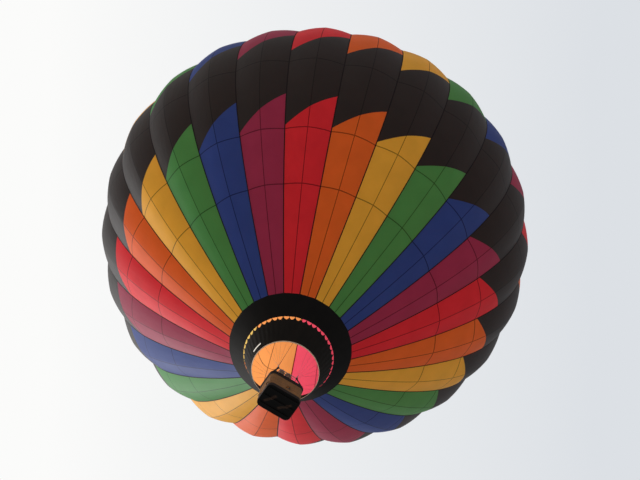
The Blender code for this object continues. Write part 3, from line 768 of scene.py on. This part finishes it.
# Heat-tinted stainless steel: straw to blue towards the top, where the flame heats it
tinted, tree, shader, place = finish_named("heat_tinted_stainless_steel", "#A8A49E", 0.3, 1.0)
where = add(tree, "SeparateXYZ", {"Vector": place}).outputs["Z"]
heat = add(tree, "MapRange", {"Value": where, "From Min": CAN_LOW, "From Max": CAN_LOW + 0.33})
drift = add(tree, "TexNoise", {"Vector": place, "Scale": 12.0, "Detail": 3.0})
drift = add(tree, "Math", {0: drift, 1: 0.3, 2: heat}, operation="MULTIPLY_ADD")
colours = add(tree, "ValToRGB", {"Fac": drift}, shader.inputs["Base Color"])
for spot, code in ((0.30, "#B2B0AC"), (0.62, "#B89A6A"), (0.80, "#7E6A72"), (1.0, "#5A6478")):
    colours.color_ramp.elements.new(spot).color = srgb(code)


def opened(made, gone):
    # Cuts out the faces that gone picks
    shape = bmesh.new()
    shape.from_mesh(made.data)
    bmesh.ops.delete(shape, geom=[face for face in shape.faces if gone(face)], context="FACES")
    shape.to_mesh(made.data)
    shape.free()
    return made


def banded(made, heights):
    # Cuts a piece across at each height
    for height in heights:
        edit(made, bpy.ops.mesh.bisect, plane_co=(0, 0, height), plane_no=(0, 0, 1))
    return made


for number, side in enumerate((-1, 1), 1):
    middle = Vector((side * CAN_SIDE, 0, CAN_LOW))

    def air_hole(face):
        at = face.calc_center_median() - middle
        facet = round(atan2(at.y, at.x) / (2 * pi) * FACETS - 0.5) % FACETS
        return any(low < at.z < high and facet % 3 == first for low, high, first in AIR_HOLES)

    can = started("cylinder", vertices=FACETS, radius=CAN_RADIUS, depth=CAN_HIGH, end_fill_type="NOTHING",
                  location=middle + UP * CAN_HIGH / 2)
    banded(settled(can, "can"), [CAN_LOW + height for height in (0.040, 0.062, 0.082, 0.104, 0.20)])
    modified(opened(can, air_hole), "SOLIDIFY", thickness=CAN_WALL)
    rolled = started("torus", major_radius=0.1225, minor_radius=0.004, major_segments=64, minor_segments=10,
                     location=middle + UP * 0.317)
    base = started("cylinder", vertices=FACETS, radius=0.123, depth=0.004, location=middle + UP * 0.002)
    shell = f"burner_can_shell_{number}"
    can = settled(joined(shell, [can, rolled, base]), shell)
    carried(can, tinted, f"burner_can_{number}", body="burner")

    coil = []
    for step in range(COIL_STEPS * 5 - 8):
        way = step / COIL_STEPS
        coil.append(middle + on_circle(COIL_RADIUS, 2 * pi * way, 0.0145 + COIL_PITCH * way))
    pieces = [tube("coil", coil, 0.009),
              started("torus", major_radius=JET_RADIUS, minor_radius=0.007, major_segments=40,
                      minor_segments=8, location=middle + UP * 0.030)]
    for turn in turns(JETS):
        pieces.append(started("cone", vertices=10, radius1=0.005, radius2=0.002, depth=0.016,
                              location=middle + on_circle(JET_RADIUS, turn, 0.043)))
    pieces.append(started("cylinder", vertices=16, radius=0.008, depth=0.030,
                          location=middle + Vector((0, JET_RADIUS, 0.016))))
    coil_tube = f"burner_coil_tube_{number}"
    coil = settled(joined(coil_tube, pieces), coil_tube)
    carried(coil, tinted, f"burner_coil_{number}", body="burner")
painted("burner_block", stainless)

# Brass: warm yellow, dulled, for the valves under the block
brass, *_ = finish_named("machined_brass", "#B8924A", 0.35, 1.0, polish=(70.0, 4.0, 0.25, 0.55))
nuts = [edit(started("cylinder", vertices=6, radius=wide, depth=tall,
                     location=(side * CAN_SIDE, 0, FRAME_HEIGHT + height)),
             bpy.ops.mesh.bevel, offset=0.0015, segments=2)
        for side in (-1, 1) for height, wide, tall in NUTS]
carried(settled(joined("brass_valves", nuts), "brass_valves"), brass, body="burner")

# Moulded nylon grips: one red and one black, fine-grained and slightly glossy
for side, name, code in GRIPS:
    moulded, *_ = finish_named(f"moulded_nylon_{name}", code, 0.4, grain=(700.0, 2.0, 0.0003, 0.4))
    grip = started("cylinder", vertices=24, radius=0.0145, depth=0.085, rotation=(pi / 2, 0, 0),
                   location=(side * CAN_SIDE, -0.105, FRAME_HEIGHT - 0.045))
    edit(grip, bpy.ops.mesh.bevel, offset=0.005, segments=3)
    carried(settled(grip, f"blast_grip_{name}"), moulded, body="burner")

# Uprights: four poles that lean in from the basket's rim to the load frame. Each has a zipped suede cover
# over its pole, wire and fuel hose, padded with foam and tied in by straps at its head, middle and foot.

UPRIGHT_FOOT = (0.6366, 0.4566, -13.5194)
UPRIGHT_HEAD = (0.42, 0.28, FRAME_HEIGHT - 0.0308)
upright_high = UPRIGHT_HEAD[2] - UPRIGHT_FOOT[2]
STRAPS = (0.025, upright_high / 2, upright_high - 0.025)
COVER_RINGS = 38

# Suede: very dark brown and matte, with a fine soft nap and rubbed lighter patches
suede, *_ = finish_named("dark_suede", "#1C1512", 0.9, specular=0.2, tones=(5.0, 5.0, "#0E0A09", "#2E211B"),
                         grain=(400.0, 2.0, 0.0006, 0.5))
# Zinc zip teeth: small bright metal, 3 mm apart
zinc, *_ = finish_named("zinc_zip", "#9C9A96", 0.35, 1.0, ribs=(50.0, "Z", 0.001, 0.8))


def inflated(made, voxel, cap, held):
    # Padding: remeshes the piece and blows it up a little as cloth, but holds the points that held picks
    modified(made, "REMESH", mode="VOXEL", voxel_size=voxel)
    start = [vertex.co.copy() for vertex in made.data.vertices]
    tied = made.vertex_groups.new(name="tied")
    tied.add([vertex.index for vertex in made.data.vertices if held(vertex.co)], 1.0, "REPLACE")
    stuff = made.modifiers.new("stuffing", "CLOTH")
    stuff.settings.use_pressure = True
    stuff.settings.uniform_pressure_force = 4.0
    stuff.settings.effector_weights.gravity = 0.0
    stuff.settings.vertex_group_mass = tied.name
    for tick in range(1, 21):
        scene.frame_set(tick)
    bpy.ops.object.modifier_apply(modifier=stuff.name)
    scene.frame_set(1)
    for vertex, before in zip(made.data.vertices, start):
        moved = vertex.co - before
        if moved.length > cap:
            vertex.co = before + moved * (cap / moved.length)
    modified(made, "SUBSURF", levels=1, render_levels=1)
    made.data.shade_smooth()


def from_strap(height, straps):
    return min(abs(height - strap) for strap in straps)


cover = settled(started("cylinder", vertices=32, radius=1.0, depth=upright_high - 0.002,
                        location=(0, 0, upright_high / 2)), "upright_cover")
banded(cover, [upright_high * step / COVER_RINGS for step in range(1, COVER_RINGS)])
for vertex in cover.data.vertices:
    up = vertex.co.z
    near = from_strap(up, STRAPS)
    wide = 0.0335 - 0.005 * up / upright_high - 0.005 * exp(-(near / 0.015) ** 2)
    turn = atan2(vertex.co.y, vertex.co.x)
    fold = 0.0006 * sin(up * 95 + 2 * sin(turn)) * exp(-(near / 0.10) ** 2)
    wide = (wide - 0.002 + fold) * hypot(vertex.co.x, vertex.co.y)
    vertex.co.x, vertex.co.y = wide * cos(turn), wide * 0.94 * sin(turn)
inflated(cover, 0.006, 0.003, lambda co: from_strap(co.z, STRAPS) < 0.014)
cover.data.materials.clear()
cover.data.materials.append(suede)

pieces = []
for strap in STRAPS:
    wide = 0.0302 - 0.005 * strap / upright_high
    band = started("cylinder", vertices=40, radius=wide, depth=0.022, location=(0, 0, strap))
    pieces.append(edit(band, bpy.ops.mesh.bevel, offset=0.002, segments=2))
    buckle = started("cube", size=1.0, location=(wide * 0.97, 0.006, strap), scale=(0.006, 0.020, 0.026))
    pieces.append(edit(buckle, bpy.ops.mesh.bevel, offset=0.001, segments=2))
straps = settled(joined("upright_straps", pieces), "upright_straps")
straps.data.materials.append(webbing)
zip_line = settled(started("cube", size=1.0, location=(-0.0292, 0, upright_high / 2),
                           scale=(0.004, 0.007, upright_high - 0.09)), "upright_zip")
for vertex in zip_line.data.vertices:
    vertex.co.x += 0.0048 * (vertex.co.z / upright_high - 0.5)
zip_line.data.materials.append(zinc)

for number, (sx, sy) in enumerate(CORNERS, 1):
    foot = Vector((sx * UPRIGHT_FOOT[0], sy * UPRIGHT_FOOT[1], UPRIGHT_FOOT[2]))
    head = Vector((sx * UPRIGHT_HEAD[0], sy * UPRIGHT_HEAD[1], UPRIGHT_HEAD[2]))
    lean = (head - foot) / upright_high
    for part in (cover, straps, zip_line):
        made = copy_of(part, f"{part.name}_{number}", Matrix.Rotation(atan2(sy, sx), 4, "Z"))
        for vertex in made.data.vertices:
            up = vertex.co.z
            vertex.co = foot + Vector((vertex.co.x + lean.x * up, vertex.co.y + lean.y * up, up))
        carried(made, stands_for=f"upright_{number}" if part == cover else None)
for part in (cover, straps, zip_line):
    bpy.data.objects.remove(part)

# Basket wall: willow rods woven in and out of upright stakes, with a foothold on each long side. The rods
# are drawn thicker and fewer than the real ones. Each foothold has a sewn suede frame.

GROUND = -14.68
LONG, WIDE, CORNER, WALL = 1.42, 1.06, 0.20, 0.042
WALL_LOW = GROUND + 0.0579
WALL_HIGH = GROUND + 1.06
STAKES, STAKE = 104, 0.0065
ROWS_HIGH, ROD, WEAVE = 70, 0.0076, 0.0134
FOOTHOLDS = ((0.06, -1), (-0.06, 1))
HOLE_WIDE, HOLE_HIGH, HOLE_MIDDLE = 0.13, 0.11, GROUND + 0.47
HOLE_EDGE = 0.006


def perimeter(inset, count):
    # Points spaced evenly round the wall, this far in from its outer face, with their outward directions
    sizes = (WIDE - 2 * CORNER, LONG - 2 * CORNER)
    round_of = CORNER - inset
    quarter = pi / 2 * round_of
    whole = 2 * sum(sizes) + 4 * quarter
    found = []
    for step in range(count):
        rest = whole * step / count
        for side in range(4):
            outward = Vector((round(cos(pi / 2 * side)), round(sin(pi / 2 * side))))
            along = Vector((-outward.y, outward.x))
            straight, across_it = sizes[side % 2], (LONG, WIDE)[side % 2]
            if rest < straight:
                found.append((outward * (across_it / 2 - inset) + along * (rest - straight / 2), outward))
                break
            rest -= straight
            if rest < quarter:
                turn = rest / round_of
                normal = outward * cos(turn) + along * sin(turn)
                middle = outward * (across_it / 2 - CORNER) + along * (straight / 2)
                found.append((middle + normal * round_of, normal))
                break
            rest -= quarter
    return found


def in_foothold(point, margin):
    return any(abs(point.x - x) < HOLE_WIDE / 2 + margin and point.y * side > 0.4 for x, side in FOOTHOLDS)


round_wall = perimeter(WALL / 2, 2 * STAKES)
pitch = (WALL_HIGH - WALL_LOW - 0.004) / ROWS_HIGH
hole_low, hole_high = (HOLE_MIDDLE + end * (HOLE_HIGH / 2 + 0.008) for end in (-1, 1))
first_cut = floor((hole_low - WALL_LOW) / pitch)
last_cut = ceil((hole_high - WALL_LOW) / pitch)
stretches = ((0, first_cut, False), (first_cut, last_cut, True), (last_cut, ROWS_HIGH, False))
rods = []
for phase in (0, 1):
    for first, last, cut in stretches:
        first += (first + phase) % 2
        height = WALL_LOW + 0.002 + pitch * (first + 0.5)
        routes = [[]]
        for index, (point, outward) in enumerate(round_wall):
            if cut and in_foothold(point, 0.004):
                routes.append([])
                continue
            bend = WEAVE * (0 if index % 2 else (1 if (index // 2 + phase) % 2 else -1))
            routes[-1].append((*(point + outward * bend), height))
        if cut:
            routes[0] = routes.pop() + routes[0]
        for route in routes:
            if len(route) > 1:
                rod = tube("weaving_rod", route, ROD, closed=not cut, sides=1)
                rods.append(modified(rod, "ARRAY", use_relative_offset=False, use_constant_offset=True,
                                     constant_offset_displace=(0, 0, 2 * pitch),
                                     count=(last - first + 1) // 2))
for point, outward in round_wall[::2]:
    spans = [(WALL_LOW + 0.001, WALL_HIGH - 0.001)]
    if in_foothold(point, 0.008):
        spans = [(WALL_LOW + 0.001, hole_low + 0.004), (hole_high - 0.004, WALL_HIGH - 0.001)]
    rods += [tube("stake", [(*point, low), (*point, high)], STAKE) for low, high in spans]

# Willow: brown, varnished thinly and weathered, each rod a little different, with grain along the wall
willow, tree, shader, place = finish_named("weathered_willow", "#6A4A2A", 0.6,
                                           grain=(220.0, 2.0, 0.0006, 0.5))
flat_rows = add(tree, "Mapping", {"Vector": place, "Scale": (2.5, 2.5, 70.0)})
rod_tone = add(tree, "TexNoise", {"Vector": flat_rows, "Scale": 1.0, "Detail": 2.0})
tones = add(tree, "ValToRGB", {"Fac": rod_tone})
tones.color_ramp.elements[0].color = srgb("#4A2A12")
tones.color_ramp.elements[1].color = srgb("#B87C3C")
soiled = add(tree, "TexNoise", {"Vector": place, "Scale": 4.0, "Detail": 4.0})
dirt = add(tree, "MapRange",
           {"Value": soiled, "From Min": 0.3, "From Max": 0.7, "To Min": 0.65, "To Max": 1.0})
add(tree, "VectorMath", {0: tones, "Scale": dirt}, shader.inputs["Base Color"], operation="SCALE")
carried(joined("wicker_wall", rods), willow, "basket_wall")

for number, (x, side) in enumerate(FOOTHOLDS, 1):
    middle = Vector((x, side * (WIDE - WALL) / 2, HOLE_MIDDLE))
    pieces = []
    if side > 0:
        # Only the far hole is lined between its two frames
        lining = started("cube", size=1.0, location=middle,
                         scale=(HOLE_WIDE + 2 * HOLE_EDGE, WALL, HOLE_HIGH + 2 * HOLE_EDGE))
        opened(settled(lining, "foothold_lining"), lambda face: abs(face.normal.y) > 0.5)
        pieces.append(modified(lining, "SOLIDIFY", thickness=0.005))
    for face in (-1, 1):
        ring = [middle + Vector(((HOLE_WIDE / 2 + HOLE_EDGE) * squared(cos(turn), 0.3), face * WALL / 2,
                                 (HOLE_HIGH / 2 + HOLE_EDGE) * squared(sin(turn), 0.3)))
                for turn in turns(40)]
        pieces.append(tube("foothold_edge", ring, 0.009, closed=True))
    edging = f"foothold_edging_{number}"
    carried(settled(joined(edging, pieces), edging), suede)

# Rim pad: foam covered in dark suede round the top of the wall. A leather thong laces it down about
# every 12 cm.

RIM_HEIGHT = WALL_HIGH + 0.0503
PAD_RADIUS, LACE_REACH, LACE_DROP = 0.0465, 0.0455, 0.016
LACES, PER_LACE = 36, 8
round_rim = perimeter(WALL / 2, LACES * PER_LACE)
lace_places = [(Vector((*point, RIM_HEIGHT)), Vector((*outward, 0.0)))
               for point, outward in round_rim[::PER_LACE]]


def tied_down(co):
    here = Vector((co.x, co.y, RIM_HEIGHT))
    return any((here - place).length < 0.055
               and abs((here - place).dot(Vector((-outward.y, outward.x, 0.0)))) < 0.008
               for place, outward in lace_places)


pad = tube("rim_pad_line", [(*point, RIM_HEIGHT) for point, outward in round_rim], PAD_RADIUS, closed=True,
           sides=6, swell=[1.0 if step % PER_LACE else 0.93 for step in range(len(round_rim))])
inflated(pad, 0.009, 0.006, tied_down)
pad.name = pad.data.name = "rim_padding"
carried(pad, suede, "rim_pad")

# Leather thong: dark, worn smooth, slightly shiny
thong, *_ = finish_named("leather_thong", "#2A1C14", 0.55, tones=(30.0, 3.0, "#1C120D", "#3C2A1E"))
laces = []
for place, outward in lace_places:
    loop = [place + outward * LACE_REACH * cos(turn)
            + UP * (LACE_REACH * sin(turn) - (LACE_DROP if sin(turn) < -0.5 else 0.0))
            for turn in turns(20)]
    laces.append(tube("lace", loop, 0.0035, closed=True, sides=1))
carried(joined("rim_laces", laces), thong)

# Foot and rim bands: strips of the same dark suede, 5 mm thick, sewn round the wall. The foot band is
# turned under the floor's edge, where the basket rubs on the ground, and the rim band hangs from under
# the pad.

BANDS = (
    # name, node, height of its lower edge, its own height, rows of stitches above its lower edge
    ("suede_foot_band", "foot_band", GROUND + 0.0353, 0.1847, (0.160, 0.172)),
    ("suede_rim_band", "rim_band", WALL_HIGH - 0.1197, 0.1194, (0.010, 0.022)))
BAND_AROUND, BAND_STEPS, HIDE, THREAD = 4.72, 192, 0.005, 0.0012
round_band = perimeter(-0.0083, BAND_STEPS)


def band_place(column, row, low, rows):
    point, outward = round_band[column % BAND_STEPS]
    up = rows[row]
    ripple = 0.0012 * sin(column * 1.7 + 16.0 * up) if 0 < row < len(rows) - 1 else -0.0040
    return Vector((*(point + outward * (ripple - 0.0012)), low + up))


for name, node, low, high, stitch_rows in BANDS:
    rows = (0.0, 0.004, *(high * step / 5 for step in range(1, 5)), high - 0.004, high)
    band, spots = grid(name, BAND_STEPS, len(rows) - 1)
    laid_out(band, spots, lambda column, row: band_place(column, row, low, rows),
             lambda column, row: (column / BAND_STEPS * BAND_AROUND, rows[row]))
    edit(band, bpy.ops.mesh.remove_doubles, threshold=0.0002)
    carried(modified(band, "SOLIDIFY", thickness=HIDE), suede, node)
    threads = [tube("thread", [(*(point + outward * THREAD), low + up) for point, outward in round_band],
                    THREAD, closed=True, sides=1) for up in stitch_rows]
    carried(joined(f"{node}_thread", threads), thong)

# Floor and runners: a varnished plywood floor on three hardwood runners that take the wear on landing. Both
# are nearly black, as painted shade for the basket's shaded underside. The floor's underside has two
# scuffed patches down to the bare wood.

SCUFFS = ((Vector((-0.521, 0.262, 0.0)), Vector((-0.177, -0.217, 0.0))),
          (Vector((0.075, 0.258, 0.0)), Vector((0.511, -0.184, 0.0))))
SCUFF_HALF = 0.062


# Varnish over plywood or hardwood, its colour almost black as painted shade for the shaded underside, with
# bare brown wood in the fine strokes of a scuff
def worn_wood(name, dark, bare, scuffed):
    made, tree, shader, place = finish_named(name, dark, 0.6, specular=0.08)
    stretched = add(tree, "Mapping", {"Vector": place, "Scale": (3.0, 40.0, 40.0)})
    grain = add(tree, "TexNoise", {"Vector": stretched, "Scale": 1.0, "Detail": 4.0})
    shade = add(tree, "Mix", {"Factor": grain, "A": srgb(dark), "B": srgb(scuffed)}, data_type="RGBA")
    for a, b in SCUFFS:
        along = (b - a).normalized()
        across = Vector((-along.y, along.x, 0.0))
        moved = add(tree, "VectorMath", {0: place, 1: (a + b) / 2}, operation="SUBTRACT")
        strokes = add(tree, "TexWave", {"Vector": moved, "Scale": 9.0, "Distortion": 3.0},
                      bands_direction="DIAGONAL")
        mask = strokes.outputs["Fac"]
        for direction, reach in ((along, (b - a).length / 2), (across, SCUFF_HALF)):
            far = add(tree, "VectorMath", {0: moved, 1: direction}, operation="DOT_PRODUCT")
            far = add(tree, "Math", {0: far}, operation="ABSOLUTE")
            inside = add(tree, "MapRange", {"Value": far, "From Min": reach * 0.8, "From Max": reach,
                                            "To Min": 1.0, "To Max": 0.0})
            mask = add(tree, "Math", {0: mask, 1: inside}, operation="MULTIPLY")
        shade = add(tree, "Mix", {"Factor": mask, "A": shade, "B": srgb(bare)}, data_type="RGBA")
    tree.links.new(first_output(shade), shader.inputs["Base Color"])
    add(tree, "Bump", {"Height": grain, "Distance": 0.0008, "Strength": 0.5}, shader.inputs["Normal"])
    return made


# The floor's and runners' near-black colours are painted shade for the basket's shaded underside
painted("basket_floor", worn_wood("varnished_plywood", "#030303", "#3E2C22", "#090807"))
runner_wood = worn_wood("worn_hardwood", "#040303", "#3E2C22", "#0B0907")
for number in (1, 2, 3):
    painted(f"runner_{number}", runner_wood)

# Rope handles: braided rope loops through the wall near its four lower corners, for the crew's hands.

HANDLES = ((0.715, -0.30), (0.715, 0.30), (-0.715, -0.30), (-0.715, 0.30))
HANDLE_HEIGHT, HANDLE_ROPE = GROUND + 0.38, 0.011
handles = []
for x, y in HANDLES:
    side = copysign(1.0, x)
    arch = [(x + side * (0.055 * sin(turn) - 0.02), y + 0.070 * cos(turn),
             HANDLE_HEIGHT - 0.075 * sin(turn)) for turn in turns(32)[:17]]
    handles.append(tube("handle", arch, HANDLE_ROPE))
carried(joined("rope_handles", handles), braid)

# Fuel cylinders: four welded cylinders stand in the basket's corners. Each wears a padded, quilted jacket
# with two webbing straps. Above it shows the guard ring, with the brass valve and its hand wheel inside.

JACKET = (
    # radius, height
    (0.100, 0.002), (0.112, 0.010), (0.130, 0.040), (0.134, 0.100), (0.134, 0.20), (0.134, 0.30),
    (0.134, 0.40), (0.134, 0.50), (0.132, 0.56), (0.120, 0.61), (0.100, 0.635), (0.080, 0.645))
CYLINDER_STRAPS = (0.17, 0.43)
CYLINDERS = ((-0.505, -0.325), (0.505, -0.325), (-0.505, 0.325), (0.505, 0.325))
CYLINDER_FOOT = GROUND + 0.0576
GUARD_WINDOW = (0.665, 0.715)

# Padded nylon jacket: blue-grey, dull, with a close weave
jacket_cloth, tree, shader, place = finish_named("padded_nylon_jacket", "#3A4048", 0.75,
                                                 tones=(8.0, 4.0, "#2C3138", "#4A525C"))
weave = add(tree, "TexVoronoi", {"Vector": place, "Scale": 350.0})
add(tree, "Bump", {"Height": weave, "Distance": 0.0005, "Strength": 0.5}, shader.inputs["Normal"])

jacket = started("circle", vertices=48, radius=JACKET[0][0], fill_type="NGON",
                 location=(0, 0, JACKET[0][1]))
settled(jacket, "cylinder_jacket")
bpy.ops.object.mode_set(mode="EDIT")
bpy.ops.mesh.select_all(action="SELECT")
for (before, low), (after, high) in zip(JACKET, JACKET[1:]):
    bpy.ops.mesh.extrude_region_move(TRANSFORM_OT_translate={"value": (0, 0, high - low)})
    bpy.ops.transform.resize(value=(after / before, after / before, 1.0), center_override=(0, 0, high))
bpy.ops.object.mode_set(mode="OBJECT")
edit(jacket, bpy.ops.mesh.normals_make_consistent, inside=False)
inflated(jacket, 0.012, 0.007, lambda co: from_strap(co.z, CYLINDER_STRAPS) < 0.02 or co.z < 0.008)
jacket.data.materials.clear()
jacket.data.materials.append(jacket_cloth)

pieces = []
for strap in CYLINDER_STRAPS:
    belt = started("cylinder", vertices=48, radius=0.1375, depth=0.038, end_fill_type="NOTHING",
                   location=(0, 0, strap))
    pieces.append(modified(belt, "SOLIDIFY", thickness=0.004))
    buckle = started("cube", size=1.0, location=(0.137, 0, strap), scale=(0.008, 0.05, 0.046))
    pieces.append(edit(buckle, bpy.ops.mesh.bevel, offset=0.0015, segments=2))
belts = settled(joined("cylinder_straps", pieces), "cylinder_straps")
belts.data.materials.append(webbing)


def in_window(face):
    at = face.calc_center_median()
    turn = atan2(at.y, at.x) % (2 * pi / 3)
    return GUARD_WINDOW[0] < at.z < GUARD_WINDOW[1] and turn < 1.2


guard = settled(started("cylinder", vertices=48, radius=0.095, depth=0.095, end_fill_type="NOTHING",
                        location=(0, 0, 0.6925)), "cylinder_guard")
modified(opened(banded(guard, GUARD_WINDOW), in_window), "SOLIDIFY", thickness=0.0035)
guard.data.materials.append(aluminium)

pieces = [
    started("cylinder", vertices=20, radius=0.016, depth=0.06, location=(0, 0, 0.672)),
    started("cylinder", vertices=20, radius=0.010, depth=0.05, location=(0.02, 0, 0.685),
            rotation=(0, pi / 2, 0)),
    started("torus", major_radius=0.030, minor_radius=0.005, major_segments=28, minor_segments=8,
            location=(0, 0, 0.712)),
    started("cylinder", vertices=20, radius=0.029, depth=0.004, location=(0, 0, 0.712))]
valve = settled(joined("cylinder_valve", pieces), "cylinder_valve")
valve.data.materials.append(brass)

for number, (x, y) in enumerate(CYLINDERS, 1):
    spot = Matrix.Translation((x, y, CYLINDER_FOOT)) @ Matrix.Rotation(atan2(-y, -x), 4, "Z")
    made = copy_of(jacket, f"cylinder_jacket_{number}", spot)
    carried(made, stands_for=f"fuel_cylinder_{number}")
    for part, slot in ((belts, "cylinder_jacket"), (guard, "crown_ring_metal"), (valve, "burner_steel")):
        carried(copy_of(part, f"{part.name}_{number}", spot))
for part in (jacket, belts, guard, valve):
    bpy.data.objects.remove(part)

# Floor and light: a plain pale floor at the camera's feet, a soft studio sky that is brighter on the
# picture's left, and two suns. The wide one lights the sides, and the narrow low one glows through the
# cloth.

FLOOR_HEIGHT = -115.2
SUNS = (
    # name, strength, width in degrees, direction that it comes from
    ("soft_sun", 3.6, 50, (-0.45, 0.88, 0.24)),
    ("low_sun", 1.0, 20, (0.02, 0.90, 0.40)))

studio_floor = started("circle", vertices=96, radius=20.0, fill_type="NGON", location=(0, 0, FLOOR_HEIGHT))
studio_floor.name = "floor"
studio_floor.data.materials.append(finish_named("pale_floor", "#DADAD8", 0.9)[0])

world = bpy.data.worlds.new("overcast sky")
scene.world = world
world.use_nodes = True
tree = world.node_tree
direction = add(tree, "TexCoord").outputs["Generated"]
leftward = add(tree, "VectorMath", {0: direction, 1: -picture_right}, operation="DOT_PRODUCT")
tone = add(tree, "MapRange", {"Value": leftward, "From Min": -0.09, "From Max": 0.09})
sky = add(tree, "Mix", {"Factor": tone, "A": srgb("#DCE0E5"), "B": srgb("#FBFBFA")}, data_type="RGBA")
upward = add(tree, "SeparateXYZ", {"Vector": direction}).outputs["Z"]
ground = add(tree, "MapRange",
             {"Value": upward, "From Min": -0.25, "From Max": 0.15, "To Min": 0.60, "To Max": 1.0})
add(tree, "Mix", {"Factor": ground, "A": srgb("#000000"), "B": sky},
    tree.nodes["Background"].inputs["Color"], data_type="RGBA")

for name, strength, wide, towards in SUNS:
    sun = bpy.data.objects.new(name, bpy.data.lights.new(name, "SUN"))
    scene.collection.objects.link(sun)
    sun.data.angle = radians(wide)
    sun.data.energy = strength
    sun.rotation_mode = "QUATERNION"
    sun.rotation_quaternion = Vector(towards).to_track_quat("Z", "Y")
scene.view_settings.view_transform = "Standard"
